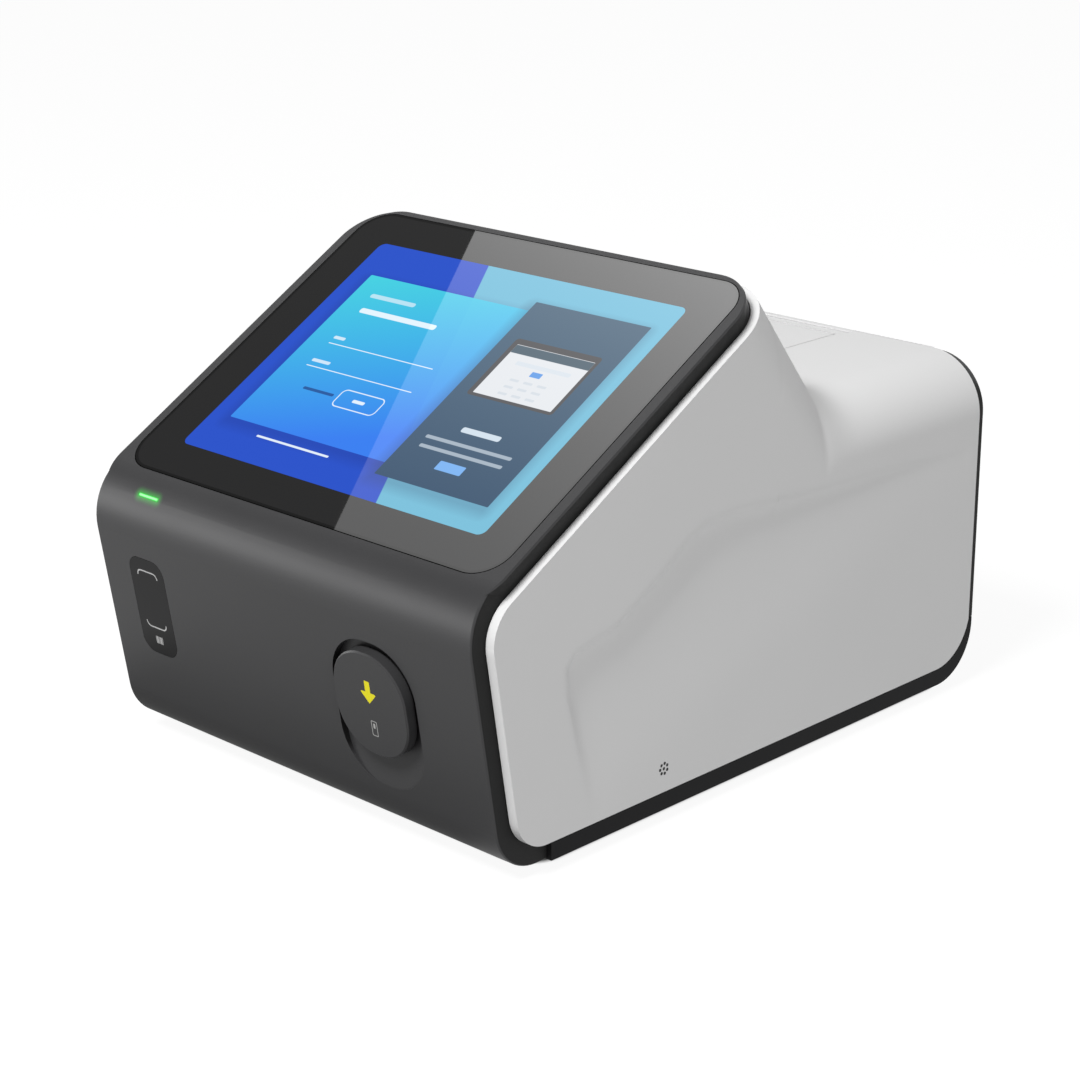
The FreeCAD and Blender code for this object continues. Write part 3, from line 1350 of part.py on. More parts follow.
optics_middle = (optics_front + optics_rear) / 2
lens_bore = rod("lens_bore", (TRAY_X, optics_middle, optics_low - 1), "z",
                named("lens_radius") + named("rod_play"), named("lens_length"))
led_z = optics_low + named("led_height")
led_bore = rod("led_bore", (TRAY_X, optics_front - 1, led_z), "y", named("led_radius") + named("rod_play"),
               named("led_length") + 1)
keep(cut("optics_housing", head_block, lens_bore, led_bore))
lens = body("objective_lens")
drawing = sketch(lens, "XZ_Plane")
lens_end = named("lens_length") - 1
polygon(drawing, [(0, 0), (named("lens_radius") - 1.5, 0), (named("lens_radius"), 1.5),
                  (named("lens_radius"), lens_end),
                  (0, lens_end)])
turned = lens.newObject("PartDesign::Revolution", "lens_turned")
turned.Profile = (drawing, [""])
turned.ReferenceAxis = (drawing, ["V_Axis"])
turned.Angle = 360
document.recompute()
keep(place(lens, (TRAY_X, optics_middle, optics_low - 1)))
led_board = block("led_board", (TRAY_X - 11, optics_front - 1.6, optics_low + 7),
                  (TRAY_X + 11, optics_front, optics_top - 1))
led = rod("led_dome", (TRAY_X, optics_front - 0.5, led_z), "y", named("led_radius"), named("led_length"))
keep(join("excitation_led", led_board, led))
keep(block("detector_board", (TRAY_X - 18, optics_rear, optics_low + 2),
           (TRAY_X + 18, optics_rear + 1.6, optics_top - 1)))

# Ticket printer in the deck: bezel, bay, hinged lid with its rubber roller, print head and paper roll.
bezel_top = DECK - named("bezel_drop")
bezel_low = bezel_top - named("bezel_deep")
lid_half = bezel_half - named("bezel_rail") - GAP
LID_REAR = ahead(named("lid_rear"))
LID_FRONT = ahead(named("lid_front"))
HINGE_Y = LID_REAR - named("lid_swing")
HINGE_Z = bezel_top - named("lid_thick") / 2
bezel = body("printer_bezel")
drawing = sketch(bezel, "XY_Plane", bezel_top)
polygon(drawing, [(-bezel_half, BEZEL_FRONT), (bezel_half, BEZEL_FRONT), (bezel_half, COVER_REAR),
                  (-bezel_half, COVER_REAR)])
pad(bezel, drawing, named("bezel_deep"), backwards=True)
drawing = sketch(bezel, "XY_Plane", bezel_top)
polygon(drawing, [(-lid_half - GAP, LID_FRONT - GAP), (lid_half + GAP, LID_FRONT - GAP),
                  (lid_half + GAP, LID_REAR + GAP), (-lid_half - GAP, LID_REAR + GAP)])
pocket(bezel, drawing, named("bezel_deep") + 1)
drawing = sketch(bezel, "YZ_Plane", lid_half + named("lid_pin_length") + GAP)
circle(drawing, HINGE_Y, HINGE_Z, named("lid_pin_radius") + named("rod_play"))
pocket(bezel, drawing, 2 * (lid_half + named("lid_pin_length") + GAP))
keep(bezel)

bay = body("printer_bay")
bay_half = named("bay_width") / 2
BAY_FRONT, BAY_REAR = ahead(named("bay_front")), ahead(named("bay_rear"))
BAY_FLOOR = DECK - named("bay_depth")
bay_wall = named("bay_wall")
drawing = sketch(bay, "YZ_Plane")
polygon(drawing, [(BAY_FRONT - bay_wall, BAY_FLOOR - bay_wall), (BAY_REAR + bay_wall, BAY_FLOOR - bay_wall),
                  (BAY_REAR + bay_wall, bezel_low), (BAY_FRONT - bay_wall, bezel_low)])
bucket = pad(bay, drawing, named("bay_width") + 2 * bay_wall, both_ways=True)
bucket = round_upright(bay, bucket, X_AXIS, [(0, BAY_FRONT - bay_wall, BAY_FLOOR - bay_wall),
                                             (0, BAY_REAR + bay_wall,
                                              BAY_FLOOR - bay_wall)], named("bay_round") + bay_wall)
drawing = sketch(bay, "XY_Plane", bezel_low)
polygon(drawing, [(-bezel_half + 1, BEZEL_FRONT + 1), (bezel_half - 1, BEZEL_FRONT + 1),
                  (bezel_half - 1, COVER_REAR - 1),
                  (-bezel_half + 1, COVER_REAR - 1)])
pad(bay, drawing, 2, backwards=True)
bay_hollow = body("bay_hollow")
drawing = sketch(bay_hollow, "YZ_Plane")
polygon(drawing, [(BAY_FRONT, BAY_FLOOR), (BAY_REAR, BAY_FLOOR), (BAY_REAR, bezel_low + 1),
                  (BAY_FRONT, bezel_low + 1)])
hollow_block = pad(bay_hollow, drawing, named("bay_width"), both_ways=True)
round_upright(bay_hollow, hollow_block, X_AXIS, [(0, BAY_FRONT, BAY_FLOOR), (0, BAY_REAR, BAY_FLOOR)],
              named("bay_round"))
PLATEN_Y = ahead(named("platen_ahead"))
PLATEN_Z = DECK - named("platen_drop")
platen_reach = named("platen_length") / 2 + 9
platen_side = named("platen_radius") + 2.8
platen_way = block("platen_way", (-platen_reach, PLATEN_Y - platen_side, bezel_low - 5),
                   (platen_reach, PLATEN_Y + platen_side, bezel_low + 1))
bay_part = cut("printer_frame", bay, bay_hollow, platen_way)
keep(bay_part)

roll_y = (BAY_FRONT + BAY_REAR) / 2
roll_z = BAY_FLOOR + named("roll_radius") + GAP
roll_half = named("roll_width") / 2
roll = rod("roll_body", (-roll_half, roll_y, roll_z), "x", named("roll_radius"), named("roll_width"))
roll_bore = rod("roll_bore", (-roll_half - 1, roll_y, roll_z), "x", named("roll_core_radius"),
                named("roll_width") + 2)
keep(cut("paper_roll", roll, roll_bore))

lid = body("lid_plate")
drawing = sketch(lid, "XY_Plane", bezel_top)
polygon(drawing, [(-lid_half, LID_FRONT), (lid_half, LID_FRONT), (lid_half, LID_REAR), (-lid_half, LID_REAR)])
lid_slab = pad(lid, drawing, named("lid_thick"), backwards=True)
lid_slab = round_upright(lid, lid_slab, X_AXIS,
                         [(0, LID_REAR, bezel_top), (0, LID_REAR, bezel_top - named("lid_thick"))],
                         named("lid_thick") / 2 - 0.01)
drawing = sketch(lid, "XY_Plane", bezel_top + 1)
polygon(drawing, [(-bay_half, LID_FRONT - 1), (bay_half, LID_FRONT - 1), (bay_half, LID_FRONT + 1.4),
                  (-bay_half, LID_FRONT + 1.4)])
pocket(lid, drawing, named("lid_thick") + 2)
arm_x = named("platen_length") / 2 + 2.6
arm_thick = 2.2
arm_low = PLATEN_Z - named("platen_radius") - 0.2
for side in (-1, 1):
    drawing = sketch(lid, "YZ_Plane", side * arm_x)
    polygon(drawing, [(PLATEN_Y - 5, bezel_top - 1), (PLATEN_Y - 3.5, arm_low), (PLATEN_Y + 3.5, arm_low),
                      (PLATEN_Y + 9, bezel_top - 1)])
    pad(lid, drawing, arm_thick, both_ways=True)
drawing = sketch(lid, "YZ_Plane", arm_x + 3)
circle(drawing, PLATEN_Y, PLATEN_Z, named("platen_shaft_radius") + named("rod_play"))
pocket(lid, drawing, 2 * arm_x + 6)
pins = [rod(f"lid_pin_{n}", (start, HINGE_Y, HINGE_Z), "x", named("lid_pin_radius"),
            named("lid_pin_length") + 1)
        for n, start in enumerate((-lid_half - named("lid_pin_length"), lid_half - 1))]
keep(join("printer_lid", lid, *pins))
platen_half = named("platen_length") / 2
platen_bar = rod("platen_bar", (-platen_half - 8, PLATEN_Y, PLATEN_Z), "x", named("platen_shaft_radius"),
                 named("platen_length") + 16)
platen_rubber = rod("platen_rubber", (-platen_half, PLATEN_Y, PLATEN_Z), "x", named("platen_radius"),
                    named("platen_length"))
keep(join("platen_roller", platen_rubber, platen_bar))
head_rear = PLATEN_Y - named("platen_radius") - named("head_gap")
print_head = block("print_head", (-roll_half + 1, head_rear - named("head_thick"), PLATEN_Z - 9),
                   (roll_half - 1, head_rear, PLATEN_Z + 3.3))
keep(print_head)
holder = body("head_holder")
drawing = sketch(holder, "YZ_Plane")
holder_front = BEZEL_FRONT + 1
polygon(drawing, [(holder_front, bezel_low - 2), (holder_front, bezel_low - 12),
                  (head_rear - named("head_thick"), bezel_low - 12),
                  (head_rear - named("head_thick"), bezel_low - 4), (holder_front + 1.4, bezel_low - 4),
                  (holder_front + 1.4, bezel_low - 2)])
pad(holder, drawing, named("roll_width") - 4, both_ways=True)
keep(holder)
printer_motor = rod("printer_motor", (8, PLATEN_Y, PLATEN_Z - 22), "x", 7.2, 20)
motor_plate = block("motor_plate", (28, PLATEN_Y - 9, PLATEN_Z - 30),
                    (29.2, BAY_FRONT - bay_wall, PLATEN_Z - 5))
keep(join("printer_drive", printer_motor, motor_plate))

# Mains inlet, its pins, the power switch and its rocker.


def panel_plate(owner, x, z, width, height, front, thick, radius):
    """A rounded block standing in the rear panel, from the given y forwards."""
    drawing = sketch(owner, "XZ_Plane", -front)
    rounded(drawing, x, z, width, height, radius)
    return pad(owner, drawing, thick)


outer_y = PANEL_Y + named("panel_proud")
inlet = body("inlet_body")
panel_plate(inlet, INLET_X, INLET_Z, named("flange_width"), named("flange_height"), outer_y,
            named("panel_proud"), 4)
panel_plate(inlet, INLET_X, INLET_Z, named("inlet_width"), named("inlet_height"), outer_y, 24, 2)
drawing = sketch(inlet, "XZ_Plane", -outer_y)
polygon(drawing, [(INLET_X + u, INLET_Z + v) for u, v in ((-12, -8), (12, -8), (12, 4), (8, 8), (-8, 8),
                                                          (-12, 4))])
pocket(inlet, drawing, 17, backwards=True)
inlet_holes = [rod(f"inlet_hole_{n}", (INLET_X + side * 20, PANEL_Y - 1, INLET_Z), "y", 1.7, 10) for n,
               side in enumerate((-1, 1))]
keep(cut("mains_inlet", inlet, *inlet_holes))
pins = []
for number, (u, v) in enumerate(((-7, -2), (0, 3), (7, -2))):
    x, z = INLET_X + u, INLET_Z + v
    pins.append(block(f"inlet_pin_{number}", (x - 1, outer_y - 17, z - 2), (x + 1, outer_y - 3, z + 2)))
keep(group("inlet_pins", *pins))
switch = body("switch_frame")
panel_plate(switch, ROCKER_X, INLET_Z, named("rocker_width") + 4, named("rocker_height") + 4, PANEL_Y + 1.2,
            1.2, 1.5)
panel_plate(switch, ROCKER_X, INLET_Z, named("rocker_width"), named("rocker_height"), PANEL_Y + 1.2, 20, 0.8)
drawing = sketch(switch, "XZ_Plane", -(PANEL_Y + 1.2))
key_half, key_tall = named("rocker_width") / 2 - 0.9, named("rocker_height") / 2 - 0.9
rectangle(drawing, ROCKER_X, INLET_Z, 2 * key_half, 2 * key_tall)
pocket(switch, drawing, 12, backwards=True)
pivot_y = PANEL_Y - 4
drawing = sketch(switch, "YZ_Plane", ROCKER_X + named("rocker_width"))
circle(drawing, pivot_y, INLET_Z, 1.25)
pocket(switch, drawing, 2 * named("rocker_width"))
keep(switch)
switch.Label = "power_switch"
rocker = body("rocker_body")
TILT = named("rocker_tilt")
reach = key_tall - 1.1
front_low = size(5.2)
drawing = sketch(rocker, "YZ_Plane")
polygon(drawing, [(front_low, -reach), (front_low - reach * sine(TILT) / cosine(TILT), 0), (front_low, reach),
                  (1, reach), (-2.5, 3), (-2.5, -3), (1, -reach)])
pad(rocker, drawing, 2 * (key_half - GAP), both_ways=True)
drawing = sketch(rocker, "YZ_Plane")
circle(drawing, 0, 0, 1.2)
pad(rocker, drawing, 2 * key_half + 1.2, both_ways=True)
keep(place(rocker, (ROCKER_X, pivot_y, INLET_Z), X_AXIS, TILT))
rocker.Label = "power_rocker"

# Main board on its standoffs, with the sockets that look out of the back.
board_rear = BACK_INNER - GAP
board_front = board_rear - named("board_length")
board_half = SIDE / 2 - named("board_margin")
keep(block("main_board", (BOARD_X - board_half, board_front, BOARD),
           (BOARD_X + board_half, board_rear, board_top)))
inset = named("board_inset")
standoff_spots = [(BOARD_X + side * (board_half - inset), y) for side in (-1,
                                                                          1) for y in (board_front + inset,
                                                                                       board_rear - 40)]
keep(group("board_standoffs", *[rod(f"standoff_{n}", (x, y, FLOOR), "z", named("standoff_radius"),
                                    BOARD - FLOOR)
                                for n, (x, y) in enumerate(standoff_spots)]))
usb, usb_tongues = [], []
usb_half = named("usb_width") / 2
for number, x in enumerate(USB_X):
    can = body(f"usb_can_{number}")
    drawing = sketch(can, "XZ_Plane", -PANEL_Y)
    rectangle(drawing, x, board_top + named("usb_height") / 2, named("usb_width"), named("usb_height"))
    pad(can, drawing, named("usb_deep"))
    for level in (0.27, 0.73):
        drawing = sketch(can, "XZ_Plane", -PANEL_Y)
        rectangle(drawing, x, board_top + named("usb_height") * level, named("usb_width") - 1, 5.4)
        pocket(can, drawing, 14, backwards=True)
        tongue_z = board_top + named("usb_height") * level
        usb_tongues.append(block(f"usb_tongue_{number}_{int(level * 100)}",
                                 (x - usb_half + 1.2, PANEL_Y - 14, tongue_z + 0.2),
                                 (x + usb_half - 1.2, PANEL_Y - 2, tongue_z + 2)))
    usb.append(can)
keep(group("usb_sockets", *usb), group("usb_tongues", *usb_tongues))
lan = body("lan_socket")
drawing = sketch(lan, "XZ_Plane", -PANEL_Y)
rectangle(drawing, LAN_X, board_top + named("lan_height") / 2, named("lan_width"), named("lan_height"))
pad(lan, drawing, named("lan_deep"))
drawing = sketch(lan, "XZ_Plane", -PANEL_Y)
polygon(drawing, [(LAN_X + u, board_top + v) for u, v in (
    (-5.9, 3.4), (5.9, 3.4), (5.9, 10.2), (3, 10.2), (3, 11.4), (-3, 11.4), (-3, 10.2), (-5.9, 10.2))])
pocket(lan, drawing, 13, backwards=True)
keep(lan)
sink = body("heat_sink")
drawing = sketch(sink, "XY_Plane", board_top)
sink_y = board_front + 34
sink_side = named("sink_side")
rectangle(drawing, BOARD_X, sink_y, sink_side, sink_side)
pad(sink, drawing, named("sink_base"))
drawing = sketch(sink, "XY_Plane", board_top + named("sink_base"))
fin_run = sink_side - 2 * named("fin_thick")
rectangle(drawing, BOARD_X - fin_run / 2, sink_y, named("fin_thick"), sink_side)
fin = pad(sink, drawing, named("fin_height"))
fins = sink.newObject("PartDesign::LinearPattern", "sink_fins")
fins.Originals = [fin]
fins.Direction = (next(item for item in sink.Origin.OriginFeatures if item.Role == "X_Axis"), [""])
fins.Length = fin_run.value
fins.Occurrences = int(named("fin_count").value)
sink.Tip = fins
document.recompute()
keep(sink)
chips = [block("chip_0", (BOARD_X - 36, board_front + 12, board_top),
               (BOARD_X - 22, board_front + 26, board_top + 1.2)),
         block("chip_1", (BOARD_X + 22, board_front + 30, board_top),
               (BOARD_X + 36, board_front + 40, board_top + 1.2)),
         rod("capacitor_0", (BOARD_X + 30, board_front + 60, board_top), "z", 5, 12),
         rod("capacitor_1", (BOARD_X + 18, board_front + 60, board_top), "z", 5, 12)]
keep(group("board_components", *chips))

# Power supply in its ventilated case.
supply_rear = BACK_INNER - named("supply_back")
supply_front = supply_rear - (named("overall_depth") / 2 - named("supply_room"))
supply_left, supply_top = named("supply_side"), FLOOR + named("supply_height")
supply = block("supply_case", (supply_left, supply_front, FLOOR),
               (SIDE - named("supply_side"), supply_rear, supply_top))
supply_vents = []
for number in range(11):
    x = supply_left + 8 + number * named("vent_pitch")
    supply_vents.append(block(f"supply_vent_{number}", (x, supply_front + 10, supply_top - 2),
                              (x + named("vent_width"), supply_rear - 10, supply_top + 1)))
keep(cut("power_supply", supply, *supply_vents))

document.recompute()
for item in document.Objects:
    if "Invalid" in item.State or "Error" in item.State:
        raise RuntimeError(f"{item.Label} did not compute")
for item in finished:
    shape = item.Shape
    if shape.isNull() or not shape.isValid():
        raise RuntimeError(f"{item.Label} has no valid shape")
for item in finished:
    item.Shape.exportStep(os.path.join("parts", item.Label + ".step"))
print(len(finished), "sub-parts written")
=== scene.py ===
"""Looks of a bench-top test cartridge reader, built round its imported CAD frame. Metres, z up, front towards -y."""

import json
import math

import bpy
import numpy as np
from mathutils import Matrix, Vector


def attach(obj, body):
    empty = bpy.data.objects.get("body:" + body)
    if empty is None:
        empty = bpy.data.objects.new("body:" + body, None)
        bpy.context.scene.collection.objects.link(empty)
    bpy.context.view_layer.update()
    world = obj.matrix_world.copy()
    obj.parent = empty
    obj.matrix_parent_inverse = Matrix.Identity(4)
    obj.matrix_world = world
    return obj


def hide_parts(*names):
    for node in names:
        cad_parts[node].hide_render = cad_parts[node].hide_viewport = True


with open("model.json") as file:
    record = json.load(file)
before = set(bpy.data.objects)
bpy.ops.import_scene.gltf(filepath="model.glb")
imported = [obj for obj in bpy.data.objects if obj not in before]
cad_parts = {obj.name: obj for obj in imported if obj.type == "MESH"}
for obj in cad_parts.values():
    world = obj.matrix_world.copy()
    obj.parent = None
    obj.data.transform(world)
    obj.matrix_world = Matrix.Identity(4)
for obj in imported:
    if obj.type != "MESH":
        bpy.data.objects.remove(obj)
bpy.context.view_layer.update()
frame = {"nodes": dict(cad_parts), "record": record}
nodes = frame["nodes"]

MM = 0.001
MERGE_WITHIN = 2e-6
NOSE_Y, NOSE_Z = -146.338, 104.3
SLOPE, LEAN = math.radians(30.0), math.radians(9.2)
HALF = 106.1
DECK, REAR, COVER_LOW = 139.0, 136.9, 12.5
PEAK_ALONG, SLOPE_REVEAL, FRONT_REVEAL = 176.5, 7.5, 6.3
HUMP = math.radians(52.3)
SHOULDER = 24.0
NOSE_ROUND, LIGHT_X, LIGHT_TURN = 24.0, -73.6, math.radians(56.2)


# ---- shader maths ---------------------------------------------------------------------------------------------


class Sig:
    """A value inside a material; arithmetic on it adds the Math nodes."""

    def __init__(self, look, socket):
        self.look, self.socket = look, socket

    def _math(self, operation, *values):
        return self.look.node("ShaderNodeMath", {"operation": operation}, dict(enumerate(values)))

    def __add__(self, other):
        return self._math("ADD", self, other)

    def __sub__(self, other):
        return self._math("SUBTRACT", self, other)

    def __rsub__(self, other):
        return self._math("SUBTRACT", other, self)

    def __mul__(self, other):
        return self._math("MULTIPLY", self, other)

    def __truediv__(self, other):
        return self._math("DIVIDE", self, other)

    def __abs__(self):
        return self._math("ABSOLUTE", self)

    def __pow__(self, other):
        return self._math("POWER", self, other)

    __radd__, __rmul__ = __add__, __mul__

    def least(self, other):
        return self._math("MINIMUM", self, other)

    def most(self, other):
        return self._math("MAXIMUM", self, other)

    def clamp(self):
        return self.most(0.0).least(1.0)

    def root(self):
        return self._math("SQRT", self)


class Look:
    """One material: its nodes, and the handful of steps that this object's finishes are made of."""

    def __init__(self, name):
        self.material = bpy.data.materials.new(name)
        self.material.use_nodes = True
        self.tree = self.material.node_tree
        self.tree.nodes.clear()
        self.out = self.tree.nodes.new("ShaderNodeOutputMaterial")

    def node(self, kind, settings=None, inputs=None, output=0):
        made = self.tree.nodes.new(kind)
        for name, setting in (settings or {}).items():
            if name == "ramp":
                stops = made.color_ramp.elements
                while len(stops) < len(setting):
                    stops.new(0.5)
                for stop, (where, colour) in zip(stops, setting):
                    stop.position, stop.color = where, (*colour, 1.0)
            else:
                setattr(made, name, setting)
        for name, value in (inputs or {}).items():
            socket = made.inputs[name]
            if isinstance(value, Sig):
                self.tree.links.new(value.socket, socket)
            elif hasattr(value, "__len__") and len(value) == 3 and socket.type == "RGBA":
                socket.default_value = (*value, 1.0)
            else:
                socket.default_value = value
        return Sig(self, made.outputs[output])

    def place(self, turn=0.0, start=(0, 0, 0)):
        """Object coordinates in millimetres from a start point, turned about x: (across, up the plane, out of it)."""
        spot = self.node("ShaderNodeTexCoord", output="Object")
        moved = self.node("ShaderNodeVectorMath", {"operation": "SUBTRACT"}, {0: spot, 1: [v * MM for v in start]})
        turned = self.node("ShaderNodeVectorRotate", {"rotation_type": "X_AXIS"}, {"Vector": moved, "Angle": -turn})
        big = self.node("ShaderNodeVectorMath", {"operation": "SCALE"}, {0: turned, "Scale": 1 / MM})
        return [self.node("ShaderNodeSeparateXYZ", {}, {0: big}, output=i) for i in range(3)]

    def noise(self, per_mm, detail=2.0, roughness=0.5):
        spot = self.node("ShaderNodeTexCoord", output="Object")
        inputs = {"Vector": spot, "Scale": per_mm / MM, "Detail": detail, "Roughness": roughness}
        return self.node("ShaderNodeTexNoise", {}, inputs, "Fac")

    def mix(self, share, first, second):
        return self.node("ShaderNodeMix", {"data_type": "RGBA"}, {0: share, 6: first, 7: second}, 2)

    def flats(self, *ways):
        """The shading normal, but the face's own one where a face lies square to one of the given directions."""
        own = self.node("ShaderNodeNewGeometry", output="True Normal")
        level = None
        for way in ways:
            along = self.node("ShaderNodeVectorMath", {"operation": "DOT_PRODUCT"}, {0: own, 1: way}, "Value")
            level = along if level is None else level.most(along)
        flat = ((level - 0.9995) / 0.0003).clamp()
        shading = self.node("ShaderNodeNewGeometry", output="Normal")
        return self.node("ShaderNodeMix", {"data_type": "VECTOR"}, {0: flat, 4: shading, 5: own}, 1)

    def lift(self, height, distance, strength=1.0, under=None):
        inputs = {"Height": height, "Distance": distance, "Strength": strength}
        if under is not None:
            inputs["Normal"] = under
        return self.node("ShaderNodeBump", {}, inputs)

    def finish(self, **values):
        names = {key.replace("_", " "): value for key, value in values.items()}
        shader = self.node("ShaderNodeBsdfPrincipled", {}, names, "BSDF")
        self.tree.links.new(shader.socket, self.out.inputs["Surface"])
        return self.material


def box_mask(u, v, centre, half, corner, soft=0.12):
    """1 inside a rounded rectangle: one minus the signed distance to it, over the width of its soft edge."""
    du = (abs(u - centre[0]) - (half[0] - corner)).most(0.0)
    dv = (abs(v - centre[1]) - (half[1] - corner)).most(0.0)
    away = (du * du + dv * dv).root() - corner
    return (0.5 - away / soft).clamp()


def grey(level):
    """The linear value of an sRGB level from 0 to 255."""
    c = level / 255
    value = c / 12.92 if c <= 0.04045 else ((c + 0.055) / 1.055) ** 2.4
    return (value, value, value)


def tint(r, g, b):
    """The linear colour of three sRGB levels from 0 to 255."""
    return tuple(grey(c)[0] for c in (r, g, b))


def moulded(name, colour, roughness, grain=1.0, gloss=0.5):
    """Satin moulded plastic: a fine sparked texture as bump, cloudy roughness and a faint change of tone."""
    look = Look(name)
    fine = look.noise(1.6, 3.0, 0.6)
    cloud = look.noise(0.02, 3.0, 0.5)
    tone = look.mix(cloud, tuple(c * 0.965 for c in colour), tuple(min(1.0, c * 1.035) for c in colour))
    bump = look.lift(fine, 0.00003 * grain)
    rough = (cloud - 0.5) * 0.08 + fine * 0.05 + (roughness - 0.025)
    return look.finish(Base_Color=tone, Roughness=rough, Normal=bump, Specular_IOR_Level=gloss, IOR=1.47)


def metal(name, colour, roughness, brushed=0.0):
    """Plated or brushed metal: drawn-out noise along x for the brush marks, and a faint mottle."""
    look = Look(name)
    spot = look.node("ShaderNodeTexCoord", output="Object")
    drawn = look.node("ShaderNodeMapping", {}, {"Vector": spot, "Scale": (0.06, 1.0, 1.0)})
    marks = look.node("ShaderNodeTexNoise", {}, {"Vector": drawn, "Scale": 2500.0, "Detail": 2.0}, "Fac")
    cloud = look.noise(0.08, 3.0)
    tone = look.mix(cloud, tuple(c * 0.9 for c in colour), colour)
    bump = look.lift(marks, 0.00001 * brushed, 0.6)
    rough = (marks - 0.5) * 0.14 + (cloud - 0.5) * 0.1 + roughness
    return look.finish(Base_Color=tone, Metallic=1.0, Roughness=rough, Normal=bump)


def board(name):
    """Green solder mask over copper runs: stripes and pads raised a little, lighter where copper lies below."""
    look = Look(name)
    cell = look.node("ShaderNodeTexCoord", output="Object")
    brick = look.node("ShaderNodeTexBrick", {"offset": 0.37, "squash": 1.0},
                      {"Vector": cell, "Scale": 300.0, "Mortar Size": 0.025, "Brick Width": 0.9, "Row Height": 0.3,
                       "Color1": (0, 0, 0, 1), "Color2": (0.2, 0.2, 0.2, 1), "Mortar": (1, 1, 1, 1)}, "Fac")
    tone = look.mix(brick * 0.55, (0.008, 0.09, 0.035), (0.03, 0.22, 0.09))
    return look.finish(Base_Color=tone, Roughness=look.noise(0.5) * 0.1 + 0.34, Normal=look.lift(brick, 0.00004))


# ---- places on the casing, in millimetres -----------------------------------------------------------------------


def on_slope(along, out):
    """Side view point: up the slope by along, and out of the slope's face by out."""
    y = NOSE_Y + along * math.cos(SLOPE) - out * math.sin(SLOPE)
    return y, NOSE_Z + along * math.sin(SLOPE) + out * math.cos(SLOPE)


def slope_points(u, along, out):
    """Three-dimensional points of the slope from across, up and out, as one array."""
    u, along, out = np.broadcast_arrays(np.asarray(u, float), np.asarray(along, float), np.asarray(out, float))
    y, z = on_slope(along, out)
    return np.stack([u, y, z], -1)


# ---- meshes from grids ----------------------------------------------------------------------------------------


def sheet_mesh(name, blocks):
    """One mesh from blocks of points, each an array of rows by columns by 3 in millimetres. Neighbouring grid points
    make a quad, wound so that rows crossed with columns points outwards; equal points of the blocks are merged."""
    points, faces, start = [], [], 0
    for block in blocks:
        rows, columns = block.shape[:2]
        index = start + np.arange(rows * columns).reshape(rows, columns)
        faces.append(np.stack([index[:-1, :-1], index[1:, :-1], index[1:, 1:], index[:-1, 1:]], -1).reshape(-1, 4))
        points.append(block.reshape(-1, 3))
        start += rows * columns
    spots, quads = np.concatenate(points) * MM, np.concatenate(faces)
    cells = np.round(spots / MERGE_WITHIN).astype(np.int64)
    _, first, back = np.unique(cells, axis=0, return_index=True, return_inverse=True)
    spots, quads = spots[first], back.reshape(-1)[quads]
    mesh = bpy.data.meshes.new(name)
    rings = [[v for k, v in enumerate(quad) if v != quad[k - 1]] for quad in quads.tolist()]
    mesh.from_pydata(spots.tolist(), [], [ring for ring in rings if len(ring) > 2])
    mesh.validate()
    mesh.polygons.foreach_set("use_smooth", np.ones(len(mesh.polygons), bool))
    piece = bpy.data.objects.new(name, mesh)
    bpy.context.scene.collection.objects.link(piece)
    return piece


def dress(piece, material, body="casing", stands_for=()):
    """Gives a new piece its material and the body it rides on, and hides the CAD parts that it stands for."""
    piece.data.materials.append(material)
    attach(piece, body)
    if stands_for:
        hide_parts(*stands_for)
    return piece


# ---- the white cover ------------------------------------------------------------------------------------------


def rounded_path(corners):
    """An open path of straight runs whose corners, given as (y, z, radius), are replaced by tangent arcs."""
    path = [np.array([corners[0][:2]])]
    for before, here, after in zip(corners, corners[1:], corners[2:]):
        point, radius = np.array(here[:2]), here[2]
        one, two = np.array(before[:2]) - point, np.array(after[:2]) - point
        one, two = one / np.linalg.norm(one), two / np.linalg.norm(two)
        half = math.acos(np.clip(one @ two, -1, 1)) / 2
        if radius <= 0:
            path.append(point[None])
            continue
        centre = point + (one + two) / np.linalg.norm(one + two) * radius / math.sin(half)
        start, end = point + one * radius / math.tan(half) - centre, point + two * radius / math.tan(half) - centre
        share = np.linspace(0, 1, 24)[:, None]
        first = math.atan2(start[1], start[0])
        turn = (math.atan2(end[1], end[0]) - first + math.pi) % (2 * math.pi) - math.pi
        angle = first + share * turn
        path.append(centre + radius * np.concatenate([np.cos(angle), np.sin(angle)], 1))
    path.append(np.array([corners[-1][:2]]))
    return np.concatenate(path)


def front_line(height, out):
    """A point at a height on the line parallel to the front face, out of it by out."""
    return NOSE_Y + (NOSE_Z - height) * math.tan(LEAN) - out / math.cos(LEAN), height


def corner(slope_out, front_out):
    """Where a line parallel to the slope meets one parallel to the front."""
    along = (slope_out * math.sin(SLOPE - LEAN) - front_out) / math.cos(SLOPE - LEAN)
    return on_slope(along, slope_out)


